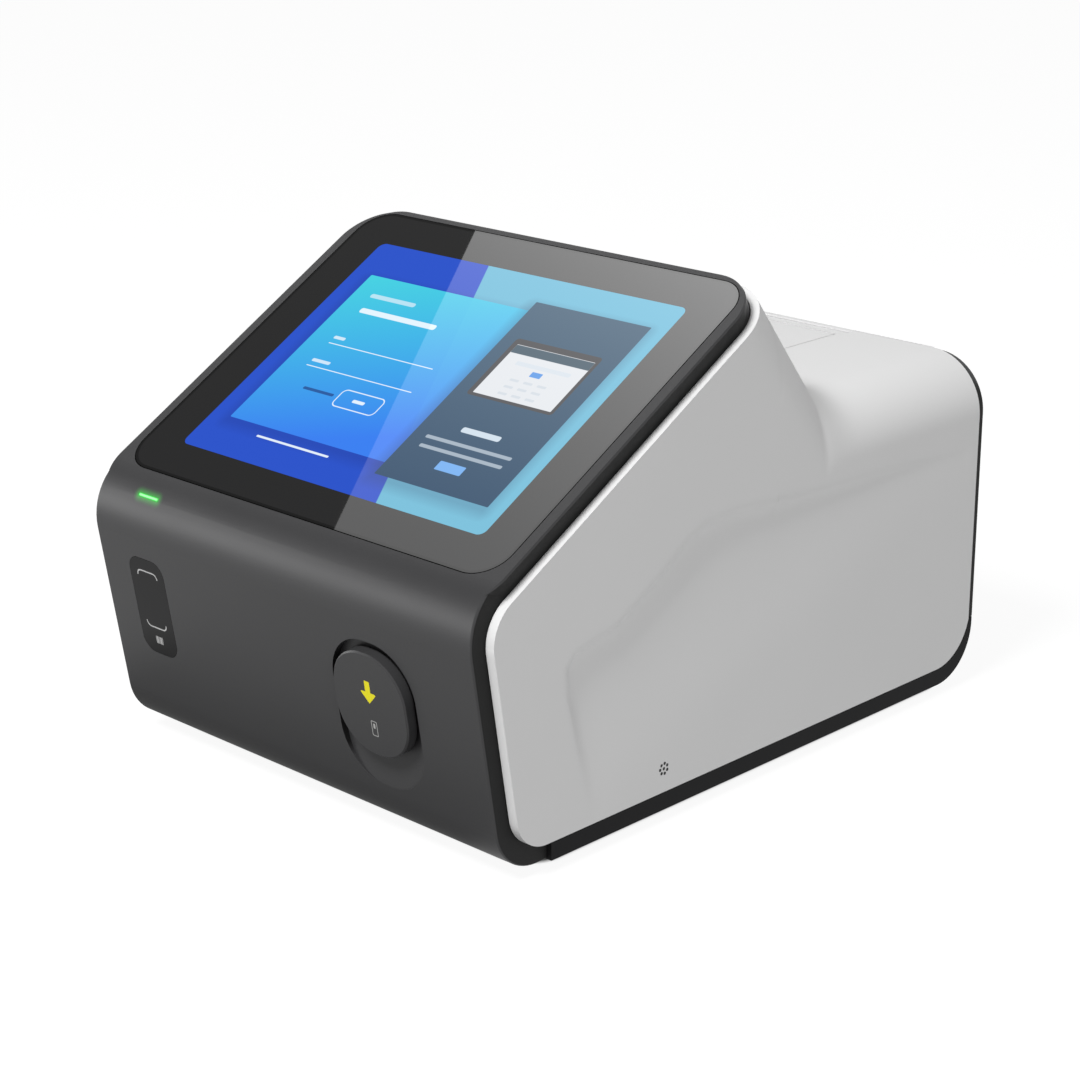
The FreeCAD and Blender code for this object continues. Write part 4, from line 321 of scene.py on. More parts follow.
TOE = front_line(COVER_LOW, -FRONT_REVEAL)
NOSE = corner(-SLOPE_REVEAL, -FRONT_REVEAL)
PEAK = on_slope(PEAK_ALONG, -SLOPE_REVEAL)
VALLEY = (PEAK[0] + (PEAK[1] - DECK) / math.tan(HUMP), DECK)
TOP_PATH = rounded_path([(*NOSE, 0), (*PEAK, 0), (*VALLEY, 26.0), (REAR, DECK, 0)])
SIDE_PATH = rounded_path([
    (NOSE[0] + 60, NOSE[1] + 60 * math.tan(SLOPE), 0), (*NOSE, 17.0), (*TOE, 15.0),
    (REAR, COVER_LOW, 21.5), (REAR, DECK, 0)])
FOREMOST = SIDE_PATH[np.argmin(SIDE_PATH[:, 0])]
SCOOP = np.array([
    (129.6, 16), (129.6, 102.5), (84, 105.2), (22.6, 107.2), (-12.3, 110.6), (-31, 109.6), (-40, 106), (-52, 98),
    (-65.3, 90), (-78.3, 83), (-91.3, 80.6), (-98, 79), (-102.2, 74.5), (-101.4, 63), (-97.4, 47), (-88.4, 16)])


def outline_low(y):
    """The height of the cover's lower outline at a depth: front line, toe round, flat run and heel round."""
    split = np.argmin(SIDE_PATH[:, 0])
    low = SIDE_PATH[split:-1]
    return np.interp(y, low[:, 0], low[:, 1])


def outline_front_top(y):
    """The height of the slope's rim line at a depth, with the nose round."""
    split = np.argmin(SIDE_PATH[:, 0])
    high = SIDE_PATH[: split + 1][::-1]
    line = PEAK[1] + (y - PEAK[0]) * math.tan(SLOPE)
    return np.where(y < high[-1, 0], np.interp(y, high[:, 0], high[:, 1]), line)


def crown(y):
    """Height and slope angle of the hump, valley and deck at a depth; in front of the peak the hump runs on."""
    path = TOP_PATH[1:]
    height = np.where(y < PEAK[0], PEAK[1] + (PEAK[0] - y) * math.tan(HUMP), np.interp(y, path[:, 0], path[:, 1]))
    near = np.arange(VALLEY[0] - 30, VALLEY[0] + 31, 0.5)
    tall = np.interp(near, path[:, 0], path[:, 1])
    angle = np.interp(y, near, np.arctan(-np.gradient(tall, near)), left=HUMP, right=0.0)
    return height, np.where(y < near[0], HUMP, angle)


def scoop_inset(y, z):
    """How far the sculpted panel sinks: a plane that deepens up and forwards, and a sloping bank round its outline,
    joined by a soft minimum; nothing outside the outline."""
    spots = np.stack([y, z], -1)
    ends = np.roll(SCOOP, -1, 0)
    run = ends - SCOOP
    share = np.clip(((spots[..., None, :] - SCOOP) * run).sum(-1) / (run * run).sum(-1), 0, 1)
    away = np.linalg.norm(spots[..., None, :] - (SCOOP + share[..., None] * run), axis=-1).min(-1)
    above = (SCOOP[:, 1] > z[..., None]) != (ends[:, 1] > z[..., None])
    cross = SCOOP[:, 0] + (z[..., None] - SCOOP[:, 1]) * run[:, 0] / np.where(run[:, 1] == 0, 1e-9, run[:, 1])
    inside = (above & (y[..., None] < cross)).sum(-1) % 2 == 1
    bank = np.where(inside, away, -away) / 1.15 + 0.25
    tilt = math.radians(20.1)
    sink = 3.6 / 55.6 * (-(y - (NOSE_Y + 50)) * math.sin(tilt) + (z - 20) * math.cos(tilt))
    soft = 0.8
    low = -soft * np.logaddexp(-bank / soft, -sink / soft)
    return 0.35 * np.logaddexp(0, low / 0.35)


def facing(block, way):
    """The same grid, turned over if its faces point away from the given direction."""
    across = np.cross(block[1:, :-1] - block[:-1, :-1], block[:-1, 1:] - block[:-1, :-1]).reshape(-1, 3).sum(0)
    return block if across @ np.asarray(way, float) > 0 else block[:, ::-1]


LIP = 7.0
RIM_X, RIM_TOP, RIM_CORNER = 102.3, 173.4, 20.3
SPREAD = (math.tan(HUMP) + math.tan(SLOPE)) * math.cos(HUMP)
REACH = PEAK[0] - SHOULDER / SPREAD
NOTCH_X, NOTCH_Y = 42.8, 59.3
REAR_EDGE, BRIDGE_DEEP, BRIDGE_HIGH = 2.8, 2.4, 0.7


def cover_stations():
    """Depths of the side's columns, closer together round the nose, the peak and the heel."""
    first, quarter = FOREMOST[0], np.linspace(0, math.pi / 2, 56)
    return np.unique(np.concatenate([
        first + 40 * (1 - np.cos(quarter)), np.arange(first + 41.5, REACH, 1.6), np.linspace(REACH, PEAK[0], 30),
        np.arange(PEAK[0] + 0.9, VALLEY[0] + 26, 1.3), np.arange(VALLEY[0] + 27, REAR - 24, 1.7),
        REAR - 23 * np.cos(quarter[::2])]))


def side_blocks(side):
    """One side of the cover. For each depth a path goes up the wall and over the shoulder, to the top strip or to the
    slope's rim; the wall sinks into the scoop. Strips turn inwards along the lower, rear and rim edges."""
    y = cover_stations()
    low, rim = outline_low(y), outline_front_top(y)
    height, angle = crown(y)
    spare = np.clip((height - rim) * np.cos(angle) / SHOULDER, 0, 1)
    last = np.where(y < PEAK[0], np.arcsin(1 - spare), math.pi / 2) * (y > REACH)
    top = np.where(y > REACH, height - SHOULDER / np.cos(angle), np.maximum(rim, low))
    wall = top - low
    along = np.linspace(0, 1, 96)[:, None] * (wall + last * SHOULDER)
    turn = np.clip((along - wall) / SHOULDER, 0, last)
    bent = along > wall
    z = np.where(bent, height - SHOULDER * (1 - np.sin(turn)) / np.cos(angle), low + along)
    ys = np.broadcast_to(y, z.shape)
    sink = np.where(bent, SHOULDER * (1 - np.cos(turn)), scoop_inset(ys, np.minimum(z, top)))
    skin = np.stack([side * (HALF - sink), ys, z], -1)
    out = [facing(skin, (side, 0, 0))]
    foot = skin[0]
    flat = np.gradient(foot[:, 1:], axis=0)
    inward = np.stack([0 * flat[:, 0], -flat[:, 1], flat[:, 0]], -1) / np.linalg.norm(flat, axis=1)[:, None]
    inner = foot * [0, 1, 1] + [side * RIM_X, 0, 0]
    out.append(facing(np.stack([foot, inner, inner + LIP * inward]), (0, -0.3, -1)))
    front = y <= PEAK[0] + 1e-6
    edge = skin[-1][front]
    up = (edge[:, 1] - NOSE_Y) / math.cos(SLOPE)
    up = np.where(edge[:, 1] < NOSE[0] + 14, 0, up - SLOPE_REVEAL * math.tan(SLOPE))
    centre = np.array([RIM_X - RIM_CORNER, RIM_TOP - RIM_CORNER])
    ray = np.stack([side * edge[:, 0] - centre[0], up - centre[1]], -1)
    ray = centre + RIM_CORNER * ray / np.linalg.norm(ray, axis=1)[:, None]
    bowed = slope_points(side * ray[:, 0], ray[:, 1], -SLOPE_REVEAL)
    inner = np.where((up > centre[1])[:, None], bowed, edge * [0, 1, 1] + [side * RIM_X, 0, 0])
    flat = np.gradient(inner[:, 1:], axis=0)
    down = np.stack([0 * flat[:, 0], flat[:, 1], -flat[:, 0]], -1) / np.linalg.norm(flat, axis=1)[:, None]
    down[up > 40] = [0, math.sin(SLOPE), -math.cos(SLOPE)]
    out.append(facing(np.stack([edge, inner, inner + LIP * down]), (0, -0.5, 1)))
    rear = skin[:, -1]
    towards = np.stack([-side * np.cos(turn[:, -1]), 0 * turn[:, -1], -np.sin(turn[:, -1])], -1)
    inner = rear + REAR_EDGE * towards
    out.append(facing(np.stack([rear, inner, inner - [0, LIP, 0]]), (0, 1, 0)))
    return out, y[y > PEAK[0] - 1e-6]


def top_blocks(stations):
    """The hump, valley and deck between the shoulders, round the printer's notch: each point is at the crown's
    height for its depth. With them the low bridge behind the notch and the strips along the edges."""
    height, _ = crown(stations)
    flat = HALF - SHOULDER
    before = stations[stations < NOTCH_Y - 0.5]
    cuts = np.concatenate([before, [NOTCH_Y]])
    beside = np.concatenate([[NOTCH_Y], stations[stations > NOTCH_Y + 0.5]])
    across = np.unique(np.concatenate([
        np.linspace(-flat, -NOTCH_X, 22), np.linspace(-NOTCH_X, NOTCH_X, 40), np.linspace(NOTCH_X, flat, 22)]))
    left, right = across[across <= -NOTCH_X + 1e-6], across[across >= NOTCH_X - 1e-6]
    out = []
    for lines, xs in ((cuts, across), (beside, left), (beside, right)):
        grid = np.stack(np.broadcast_arrays(xs[None, :], lines[:, None], crown(lines)[0][:, None]), -1)
        out.append(facing(grid, (0, 0, 1)))
    peak = slope_points(across, PEAK_ALONG, -SLOPE_REVEAL)
    inner = slope_points(np.clip(across, RIM_CORNER - RIM_X, RIM_X - RIM_CORNER), RIM_TOP, -SLOPE_REVEAL)
    inward = np.array([0, math.sin(SLOPE), -math.cos(SLOPE)])
    out.append(facing(np.stack([peak, inner, inner + LIP * inward]), (0, -0.5, 1)))
    for side in (-1, 1):
        edge = np.stack(np.broadcast_arrays(side * NOTCH_X, beside, DECK), -1)
        out.append(facing(np.stack([edge, edge - [0, 0, LIP]]), (-side, 0, 0)))
        xs = across[side * across >= NOTCH_X - 1e-6]
        edge = np.stack(np.broadcast_arrays(xs, REAR, DECK), -1)
        out.append(facing(np.stack([edge, edge - [0, 0, REAR_EDGE], edge - [0, LIP, REAR_EDGE]]), (0, 1, 0)))
    bridge = across[abs(across) <= NOTCH_X + 1e-6]
    fore, foot = REAR - BRIDGE_DEEP, DECK - BRIDGE_HIGH
    profile = ((fore, foot), (fore, DECK), (REAR, DECK), (REAR, foot))
    lines = [np.stack(np.broadcast_arrays(bridge, y, z), -1) for y, z in profile]
    for one, two, way in zip(lines, lines[1:], ((0, -1, 0), (0, 0, 1), (0, 1, 0))):
        out.append(facing(np.stack([one, two]), way))
    edge = np.stack(np.broadcast_arrays(bridge, NOTCH_Y, DECK), -1)
    out.append(facing(np.stack([edge, edge - [0, 0, LIP]]), (0, 1, 0)))
    return out


def soften(piece, width, angle=40.0, segments=3):
    """Small rounded edges where faces meet at more than the angle."""
    bevel = piece.modifiers.new("edges", "BEVEL")
    bevel.width, bevel.segments = width * MM, segments
    bevel.limit_method, bevel.angle_limit = "ANGLE", math.radians(angle)
    bevel.harden_normals = True
    return piece


def make_cover():
    """The whole white saddle: both sides and the top strip, joined at the shoulders."""
    right, stations = side_blocks(1)
    left = side_blocks(-1)[0]
    return soften(sheet_mesh("cover_skin", right + left + top_blocks(stations)), 0.35)


# ---- finishes -------------------------------------------------------------------------------------------------


def screen_glass():
    """Cover glass printed black at its back, with the lit picture showing through its window. The picture is worked out
    on the slope's own coordinates: a blue field, a cyan field, two cards, plain bars where a menu's words would be."""
    look = Look("screen_glass")
    u, v, _ = look.place(SLOPE, (0, NOSE_Y, NOSE_Z))
    field = look.mix(((u * 0.9 + v * 0.36 - 37.2) / 0.4).clamp(), tint(35, 80, 201), tint(108, 184, 212))
    shade = box_mask(u, v, (-26.0, 90.5), (45.5, 44.0), 2.0, 7.0) * 0.35
    field = look.mix(shade, field, tint(16, 40, 120))
    card = box_mask(u, v, (-26.2, 92.9), (43.4, 42.5), 0.6)
    drop = ((136.0 - v) / 100.0 + (u + 69.0) / 300.0).clamp()
    field = look.mix(card * 0.95, field, look.mix(drop, tint(66, 214, 226), tint(54, 128, 243)))
    white = box_mask(u, v, (-47.8, 125.0), (12.5, 1.1), 1.0) * 0.6
    lines = (((-37.5, 116.6), (21.0, 1.35)), ((-29.3, 97.0), (28.8, 0.22)),
             ((-29.2, 83.9), (29.1, 0.22)), ((-29.0, 45.4), (20.0, 0.5)))
    for middle, half in lines:
        white = white.most(box_mask(u, v, middle, half, min(half) * 0.8))
    for middle, half in (((-55.1, 100.4), (3.1, 0.8)), ((-53.0, 87.1), (5.0, 0.8))):
        white = white.most(box_mask(u, v, middle, half, 0.6) * 0.8)
    button = box_mask(u, v, (-18.6, 72.9), (11.6, 4.7), 2.6) - box_mask(u, v, (-18.6, 72.9), (11.1, 4.2), 2.1)
    white = white.most(button).most(box_mask(u, v, (-18.6, 72.9), (3.2, 0.8), 0.6))
    field = look.mix(box_mask(u, v, (-41.0, 73.0), (8.5, 0.7), 0.6) * 0.8, field, tint(30, 60, 130))
    field = look.mix(white * 0.92, field, tint(236, 248, 255))
    field = look.mix(box_mask(u, v, (44.5, 90.0), (30.5, 49.5), 2.0, 7.0) * 0.4, field, tint(20, 52, 100))
    slate = box_mask(u, v, (45.1, 92.4), (28.6, 48.0), 0.4)
    field = look.mix(slate, field, look.mix(((v - 44) / 96).clamp(), tint(8, 64, 98), tint(50, 88, 114)))
    field = look.mix(box_mask(u, v, (44.4, 105.6), (21.4, 15.6), 1.6), field, tint(62, 62, 66))
    field = look.mix(box_mask(u, v, (44.8, 104.9), (19.4, 13.4), 0.3), field, tint(224, 227, 231))
    field = look.mix(box_mask(u, v, (44.8, 116.0), (19.4, 2.1), 0.3), field, tint(58, 84, 100))
    field = look.mix(box_mask(u, v, (45.5, 109.6), (13.5, 1.0), 0.5), field, tint(214, 222, 230))
    bars = box_mask(u, v, (45.0, 106.0), (2.6, 1.3), 0.3)
    field = look.mix(bars, field, tint(84, 150, 224))
    for row in range(3):
        for column in range(3):
            dot = box_mask(u, v, (38.0 + 6.8 * column, 101.4 - 3.6 * row), (2.2, 0.6), 0.4)
            field = look.mix(dot * 0.6, field, tint(196, 206, 216))
    pale = box_mask(u, v, (45.0, 73.8), (9.6, 1.3), 0.9) * 0.9
    for middle, half in (((44.6, 66.8), (21.4, 0.8)), ((44.6, 62.2), (20.6, 0.8))):
        pale = pale.most(box_mask(u, v, middle, half, 0.6) * 0.5)
    field = look.mix(pale, field, tint(214, 228, 240))
    field = look.mix(box_mask(u, v, (45.2, 55.8), (6.4, 2.2), 0.5), field, tint(112, 172, 236))
    lit = box_mask(u, v, (0.8, 92.75), (80.6, 60.4), 3.2)
    print_edge = box_mask(u, v, (0, 93.1), (97.6, 75.6), 12.0, 0.3)
    smear = look.noise(0.012, 3.0, 0.55)
    base = look.mix(print_edge, (0.004, 0.004, 0.004), (0.012, 0.012, 0.0122))
    glow = look.mix(lit, (0.0, 0.0, 0.0), field)
    rough = smear * 0.012 + 0.004
    glass = look.node("ShaderNodeBsdfPrincipled", {}, {"Base Color": base, "Roughness": rough, "IOR": 1.5}, "BSDF")
    picture = look.node("ShaderNodeBsdfPrincipled", {}, {
        "Base Color": (0.004, 0.004, 0.005), "Roughness": rough, "IOR": 1.5, "Specular IOR Level": 0.22,
        "Emission Color": glow, "Emission Strength": 1.0}, "BSDF")
    both = look.node("ShaderNodeMixShader", {}, {0: lit, 1: glass, 2: picture}, "Shader")
    look.tree.links.new(both.socket, look.out.inputs["Surface"])
    return look.material


def scan_window():
    """Dark window of the code scanner: printed corner brackets and a small mark of bars."""
    look = Look("scan_window")
    u, v, _ = look.place(LEAN + math.pi / 2, (-74.9, NOSE_Y, NOSE_Z))
    middle = (0, -41.0)
    frame_line = box_mask(u, v, middle, (6.0, 12.2), 2.4, 0.25) - box_mask(u, v, middle, (5.5, 11.7), 1.9, 0.25)
    ends = ((abs(v + 41.0) - 9.6) / 0.2).clamp()
    bars = u * 0.0
    for shift, half in ((-1.9, 0.16), (-1.2, 0.3), (-0.5, 0.16), (0.15, 0.16), (0.9, 0.34), (1.75, 0.16)):
        bars = bars.most(box_mask(u, v, (shift, -58.3), (half, 1.5), 0.05, 0.15))
    mark = (frame_line * ends).most(bars).clamp()
    tone = look.mix(mark, tint(14, 14, 15), tint(206, 206, 206))
    return look.finish(Base_Color=tone, Roughness=look.noise(0.02) * 0.04 + 0.03, Specular_IOR_Level=0.12, IOR=1.5)


def tray_face(colour):
    """The tray front's moulded plastic with its printed marks: a yellow pointer and a small outline of a cartridge."""
    look = Look("tray_face")
    u, v, _ = look.place(LEAN + math.pi / 2, (48.8, NOSE_Y, NOSE_Z))
    fine, cloud = look.noise(1.6, 3.0, 0.6), look.noise(0.02, 3.0)
    stem = box_mask(u, v, (0.0, -40.9), (1.3, 2.6), 0.4, 0.2)
    reach = abs(u) + abs(v + 43.2) * 0.95
    head = ((3.9 - reach) / 0.25).clamp() * ((-42.6 - v) / 0.25).clamp()
    pointer = stem.most(head)
    card = box_mask(u, v, (0.6, -57.0), (1.5, 3.0), 0.5, 0.2) - box_mask(u, v, (0.6, -57.0), (1.2, 2.7), 0.3, 0.2)
    card = card.most(box_mask(u, v, (0.6, -56.0), (0.5, 1.0), 0.3, 0.2))
    tone = look.mix(cloud, tuple(c * 0.96 for c in colour), tuple(c * 1.04 for c in colour))
    tone = look.mix(pointer, tone, tint(236, 226, 20))
    tone = look.mix(card * 0.8, tone, tint(190, 190, 188))
    return look.finish(Base_Color=tone, Roughness=fine * 0.05 + 0.4, Normal=look.lift(fine, 0.00003),
                       Specular_IOR_Level=0.26, IOR=1.47)


def light_bar():
    """The status light: lit green plastic, whiter along its middle."""
    look = Look("light_bar")
    u, v, _ = look.place(LIGHT_TURN, (LIGHT_X, *corner(-NOSE_ROUND, -NOSE_ROUND)))
    middle = ((5.6 - abs(u)) / 0.8).clamp() * ((0.52 - abs(v)) / 0.3).clamp()
    glow = look.mix(middle, tint(20, 170, 36), tint(168, 255, 174))
    return look.finish(Base_Color=(0.02, 0.3, 0.04), Roughness=0.3, Emission_Color=glow, Emission_Strength=1.0)


def rubbery(name, colour, roughness=0.7):
    """Matte rubber or foam: a cloudy tone and a fine bump."""
    look = Look(name)
    fine = look.noise(0.9, 4.0, 0.65)
    tone = look.mix(look.noise(0.05, 3.0), tuple(c * 0.85 for c in colour), tuple(c * 1.2 for c in colour))
    return look.finish(Base_Color=tone, Roughness=fine * 0.12 + roughness, Normal=look.lift(fine, 0.00006))


def clear_lens():
    """The objective's coated glass."""
    look = Look("lens_glass")
    tone = look.mix(look.noise(0.2), (0.55, 0.62, 0.75), (0.7, 0.75, 0.85))
    return look.finish(Base_Color=tone, Roughness=0.03, Transmission_Weight=0.6, IOR=1.5)


def thermal_paper():
    """White thermal paper with a faint fibre in tone and bump."""
    look = Look("thermal_paper")
    fine = look.noise(0.6, 5.0, 0.7)
    tone = look.mix(fine, tint(232, 231, 226), tint(244, 243, 240))
    return look.finish(Base_Color=tone, Roughness=0.62 + fine * 0.1, Normal=look.lift(fine, 0.00002))


DARK = tint(54, 54, 55)
WHITE = tint(222, 222, 222)


def shell_look(name, colour):
    """The dark shell's satin plastic, with painted shade where its surface turns sideways, as its flanks beside the
    cover do, and a painted green glow where the status bar's light falls on it."""
    look = Look(name)
    fine, cloud = look.noise(1.6, 3.0, 0.6), look.noise(0.02, 3.0)
    u, v, out = look.place(LIGHT_TURN, (LIGHT_X, *corner(-NOSE_ROUND, -NOSE_ROUND)))
    du = (abs(u) - 5.0).most(0.0)
    halo = (1.0 - (du * du + v * v).root() / 3.8).clamp() ** 2.0 * (out - NOSE_ROUND + 2.0).clamp()
    tone = look.mix(cloud, tuple(c * 0.965 for c in colour), tuple(c * 1.035 for c in colour))
    # painted shade: faces that turn sideways, like the flanks beside the cover, go near black and rougher
    facing_way = look.node("ShaderNodeNewGeometry", output="Normal")
    sideways = abs(look.node("ShaderNodeSeparateXYZ", {}, {0: facing_way}))
    flank_painted_shade = ((sideways - 0.78) / 0.14).clamp()
    tone = look.mix(flank_painted_shade, tone, (0.007, 0.007, 0.007))
    flats = look.flats((0, -math.sin(SLOPE), math.cos(SLOPE)), (0, -math.cos(LEAN), -math.sin(LEAN)))
    return look.finish(
        Base_Color=tone, Roughness=(cloud - 0.5) * 0.08 + fine * 0.05 + flank_painted_shade * 0.25 + 0.375,
        Normal=look.lift(fine, 0.00003, 1.0, flats), Specular_IOR_Level=0.26, IOR=1.47,
        Emission_Color=look.mix(halo, (0.0, 0.0, 0.0), (0.01, 0.5, 0.02)), Emission_Strength=1.0)


shell_plastic = shell_look("shell_plastic", DARK)


def cover_look(name, colour):
    """The cover's satin plastic: painted shade inside the speaker's ring of small holes, and on the rim that runs
    beside the front a painted highlight that makes it paler, under a glossy coat."""
    look = Look(name)
    x, y, z = look.place(0, (0, NOSE_Y + 94.7, 21.7))
    # painted shade: the speaker's holes are black discs with a dimple, the skin itself is not cut
    holes = None
    for turn in range(8):
        reach = 2.0 if turn < 7 else 0.0
        angle = 2 * math.pi * turn / 7 + 0.2
        du, dv = y - reach * math.sin(angle), z - reach * math.cos(angle)
        hole = ((0.6 - (du * du + dv * dv).root()) / 0.15 + 0.5).clamp()
        holes = hole if holes is None else holes.most(hole)
    holes = holes * ((x - 100.0) / 1.0).clamp()
    over = look.place(SLOPE, (0, NOSE_Y, NOSE_Z))[2]
    fore = look.place(LEAN + math.pi / 2, (0, NOSE_Y, NOSE_Z))[2]
    # painted highlight: the rim beside the front is made paler than the rest of the cover
    front_rim_painted_light = ((fore + FRONT_REVEAL + 0.4) / 0.2).clamp() * (1.0 - ((over + SLOPE_REVEAL + 0.4) / 0.2).clamp())
    fine, cloud = look.noise(1.6, 3.0, 0.6), look.noise(0.02, 3.0)
    tone = look.mix(cloud, tuple(c * 0.98 for c in colour), tuple(c * 1.02 for c in colour))
    tone = look.mix(front_rim_painted_light, tone, tuple(min(0.93, c * 1.14) for c in colour))
    bump = look.lift(1.0 - holes, 0.0006, 1.0, look.lift(fine, 0.00002))
    return look.finish(
        Base_Color=look.mix(holes, tone, (0.008, 0.008, 0.008)), Roughness=fine * 0.05 + cloud * 0.06 + 0.5,
        Normal=bump, Coat_Weight=front_rim_painted_light, Coat_Roughness=0.12, Specular_IOR_Level=0.38, IOR=1.47)


cover_plastic = cover_look("cover_plastic", WHITE)
black_plastic = moulded("black_plastic", tint(34, 34, 35), 0.48)
steel = metal("steel_sheet", tint(188, 189, 192), 0.34, 1.0)
zinc = metal("zinc", tint(158, 160, 164), 0.38)
FINISH = {
    "shell_dark": shell_plastic,
    "cover_white": cover_plastic,
    "glass_black": screen_glass(),
    "display": moulded("display_case", tint(60, 62, 66), 0.4),
    "foam_black": rubbery("foam", tint(26, 26, 26), 0.85),
    "rubber": rubbery("rubber", tint(30, 30, 30)),
    "light_green": light_bar(),
    "steel": steel,
    "zinc": zinc,
    "board_green": board("solder_mask"),
    "black_plastic": black_plastic,
    "anodised": metal("anodised", tint(44, 45, 48), 0.42),
    "brass": metal("brass", tint(206, 172, 98), 0.3),
    "lens_glass": clear_lens(),
    "acetal": moulded("acetal", tint(226, 225, 220), 0.36),
    "paper": thermal_paper(),
}
OWN = {
    "scanner_window": scan_window(),
    "tray_front": tray_face(DARK),
    "base_tray": moulded("base_plastic", tint(24, 24, 25), 0.6, 1.0, 0.12),
}
for part in frame["record"]["subparts"]:
    node, mesh = nodes[part["node"]], nodes[part["node"]].data
    mesh.materials.clear()
    mesh.materials.append(OWN.get(part["node"], FINISH[part["material_slot"]]))

dress(make_cover(), cover_plastic, "casing", ["upper_cover"])


# ---- camera, floor and light --------------------------------------------------------------------------------------

camera = bpy.data.objects.new("camera", bpy.data.cameras.new("camera"))
bpy.context.scene.collection.objects.link(camera)
camera.data.sensor_width, camera.data.lens = 36.0, 85.75
camera.data.clip_start, camera.data.clip_end = 0.05, 30.0
right = Vector((0.7182, 0.6958, 0.0)).normalized()
away = Vector((0.6592, -0.6805, 0.3200)).normalized()
upward = away.cross(right)
turned = Matrix((right, upward, away)).transposed().to_4x4()
roll = Matrix.Rotation(math.radians(-0.09), 4, "Z")
camera.matrix_world = Matrix.Translation((0.6669, -0.694538, 0.3965)) @ turned @ roll
bpy.context.scene.camera = camera


def floor_look():
    """White round the object with a painted shadow right under it, and painted shade in front of it that only
    bounced and glossy rays see; a small share of plain matte takes its shadow.
    """
    look = Look("floor")
    u, v, _ = look.place()
    # painted shadow: the floor turns black under the body
    under = box_mask(u, v, (0.0, 10.4), (98.0, 122.8), 14.0, 3.0)
    seen = look.mix(under, (1.0, 1.0, 1.0), (0.0, 0.0, 0.0))
    glow = look.node("ShaderNodeEmission", {}, {"Color": seen, "Strength": 1.1}, "Emission")
    matte = look.node("ShaderNodeBsdfDiffuse", {}, {"Color": look.mix(under, (0.85, 0.85, 0.85), (0.01, 0.01, 0.01))}, "BSDF")
    both = look.node("ShaderNodeMixShader", {}, {0: 0.16, 1: glow, 2: matte}, "Shader")
    # painted shade: in front of the body the floor is dimmer for bounced light and glossy rays
    painted_fore_shade = box_mask(u, v, (-30.0, -140.0), (120.0, 36.0), 20.0, 34.0) * 0.8
    spill = look.mix(painted_fore_shade, seen, (0.2, 0.2, 0.2))
    bounce = look.node("ShaderNodeEmission", {}, {"Color": spill, "Strength": 0.46}, "Emission")
    rays = ("Is Camera Ray", "Is Glossy Ray", "Is Transmission Ray")
    from_camera, glossy, through = (look.node("ShaderNodeLightPath", output=name) for name in rays)
    seen_by = from_camera.most(glossy * (1.0 - painted_fore_shade)).most(through)
    pick = look.node("ShaderNodeMixShader", {}, {0: seen_by, 1: bounce, 2: both}, "Shader")
    look.tree.links.new(pick.socket, look.out.inputs["Surface"])
    return look.material


def stage_plane(name, corners, material):
    mesh = bpy.data.meshes.new(name)
    mesh.from_pydata([tuple(c) for c in corners], [], [tuple(range(len(corners)))])
    mesh.materials.append(material)
    plane = bpy.data.objects.new(name, mesh)
    bpy.context.scene.collection.objects.link(plane)
    return plane


stage_plane("floor", [(-6, -6, 0), (6, -6, 0), (6, 6, 0), (-6, 6, 0)], floor_look())

world = bpy.context.scene.world or bpy.data.worlds.new("world")
bpy.context.scene.world = world
world.use_nodes = True
tree = world.node_tree
tree.nodes.clear()
sky, room = tree.nodes.new("ShaderNodeBackground"), tree.nodes.new("ShaderNodeBackground")
sky.inputs["Color"].default_value, sky.inputs["Strength"].default_value = (1, 1, 1, 1), 1.0
room.inputs["Color"].default_value, room.inputs["Strength"].default_value = (1, 1, 1, 1), 0.28
path, mixed = tree.nodes.new("ShaderNodeLightPath"), tree.nodes.new("ShaderNodeMixShader")
out = tree.nodes.new("ShaderNodeOutputWorld")
most = [tree.nodes.new("ShaderNodeMath") for _ in range(2)]
most[0].operation = most[1].operation = "MAXIMUM"
tree.links.new(path.outputs["Is Camera Ray"], most[0].inputs[0])
tree.links.new(path.outputs["Is Glossy Ray"], most[0].inputs[1])
tree.links.new(most[0].outputs[0], most[1].inputs[0])
tree.links.new(path.outputs["Is Transmission Ray"], most[1].inputs[1])
tree.links.new(most[1].outputs[0], mixed.inputs[0])
tree.links.new(room.outputs[0], mixed.inputs[1])
tree.links.new(sky.outputs[0], mixed.inputs[2])
tree.links.new(mixed.outputs[0], out.inputs["Surface"])


def lamp(name, spot, target, size, power):
    """A soft square lamp."""
    made = bpy.data.objects.new(name, bpy.data.lights.new(name, "AREA"))
    made.data.shape, made.data.size, made.data.energy = "SQUARE", size, power
    bpy.context.scene.collection.objects.link(made)
    made.location = spot
    made.rotation_mode = "QUATERNION"
    made.rotation_quaternion = (Vector(target) - Vector(spot)).to_track_quat("-Z", "Y")
    return made


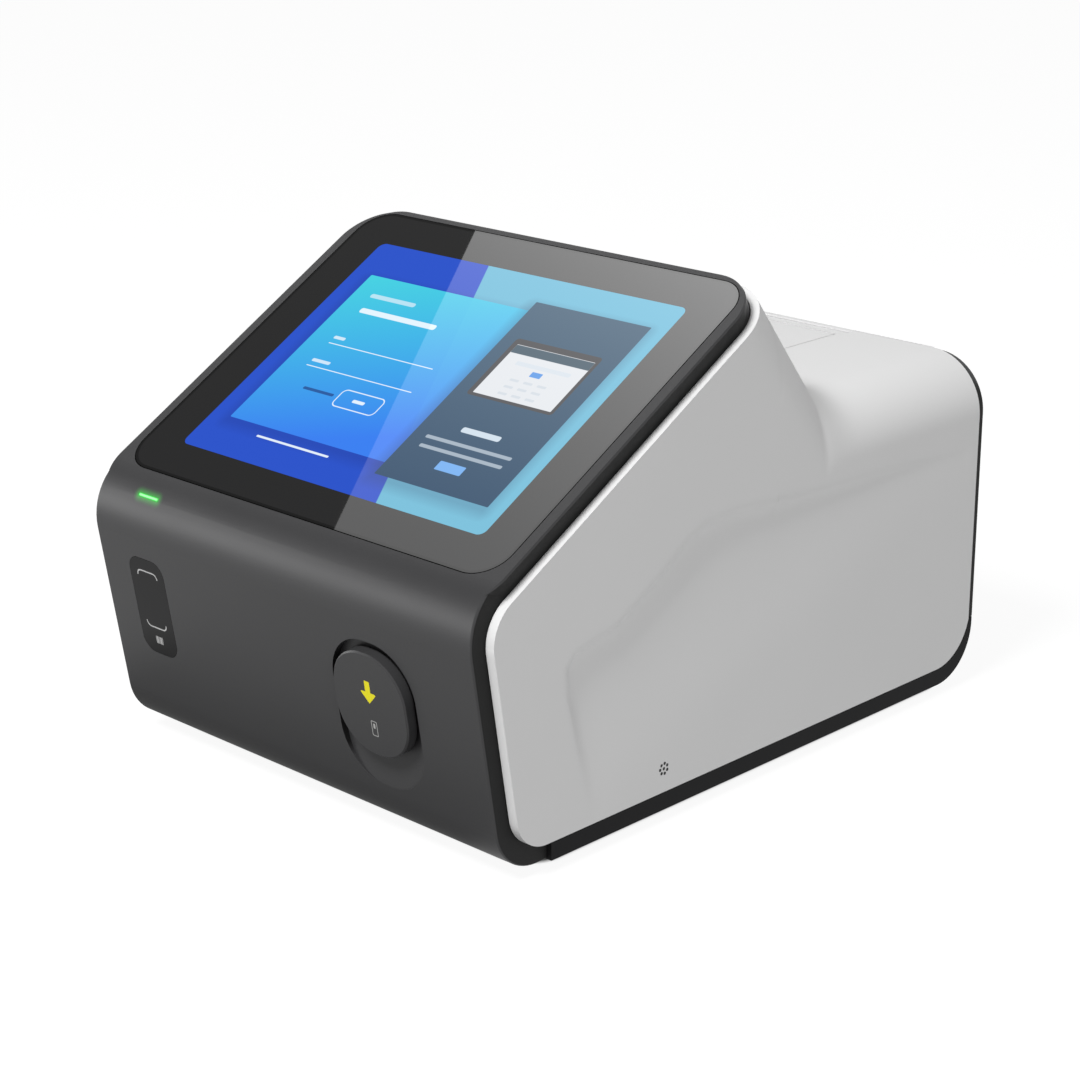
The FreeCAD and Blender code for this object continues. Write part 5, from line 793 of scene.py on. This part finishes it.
lamp("key", (0.12, -1.05, 1.42), (0, 0, 0.08), 0.55, 28.0).visible_glossy = False
lamp("side", (1.7, -0.8, 0.24), (0, 0, 0.08), 0.5, 7.0).visible_glossy = False


def reflected(points, distance):
    """Where the camera's rays through points of the slope go after the glass mirrors them, at a distance."""
    out = []
    normal = np.array([0.0, -math.sin(SLOPE), math.cos(SLOPE)])
    for u, v in points:
        spot = slope_points(u, v, 0.0) * MM
        ray = spot - np.array(camera.location)
        ray = ray / np.linalg.norm(ray)
        out.append(spot + distance * (ray - 2 * (ray @ normal) * normal))
    return out


def studio_card(name, corners, low, high):
    """A card that only glossy rays see; its glow rises from low at its first corner to high at its third."""
    look = Look(name)
    spot = look.node("ShaderNodeTexCoord", output="Object")
    start, run = Vector(corners[0]), Vector(corners[2]) - Vector(corners[0])
    moved = look.node("ShaderNodeVectorMath", {"operation": "SUBTRACT"}, {0: spot, 1: start})
    way = run / run.length_squared
    share = look.node("ShaderNodeVectorMath", {"operation": "DOT_PRODUCT"}, {0: moved, 1: way}, "Value").clamp()
    level = share * share * (high - low) + low
    glow = look.node("ShaderNodeEmission", {}, {"Color": (1.0, 1.0, 1.0), "Strength": level}, "Emission")
    look.tree.links.new(glow.socket, look.out.inputs["Surface"])
    card = stage_plane(name, corners, look.material)
    card.visible_camera = card.visible_diffuse = card.visible_transmission = False
    card.visible_shadow = card.visible_volume_scatter = False
    return card


studio_card("bright_card", reflected([(27.0, 4.0), (128.0, 4.0), (128.0, 184.0), (-47.5, 184.0)], 1.1), 1.6, 5.2)
studio_card("dark_card", reflected([(-150.0, -40.0), (46.0, -40.0), (-50.0, 190.0), (-150.0, 190.0)], 1.15), 0.15, 0.2)
studio_card("front_card", [(-1.9, -0.2, 0.05), (-0.2, -1.9, 0.05), (-0.2, -1.9, 0.56), (-1.9, -0.2, 0.56)], 5.4, 5.4)
studio_card("upper_card", [(-1.9, -0.2, 0.75), (-0.2, -1.9, 0.75), (-0.2, -1.6, 2.0), (-1.6, -0.2, 2.0)], 0.1, 0.1)

bpy.context.scene.view_settings.view_transform = "Standard"
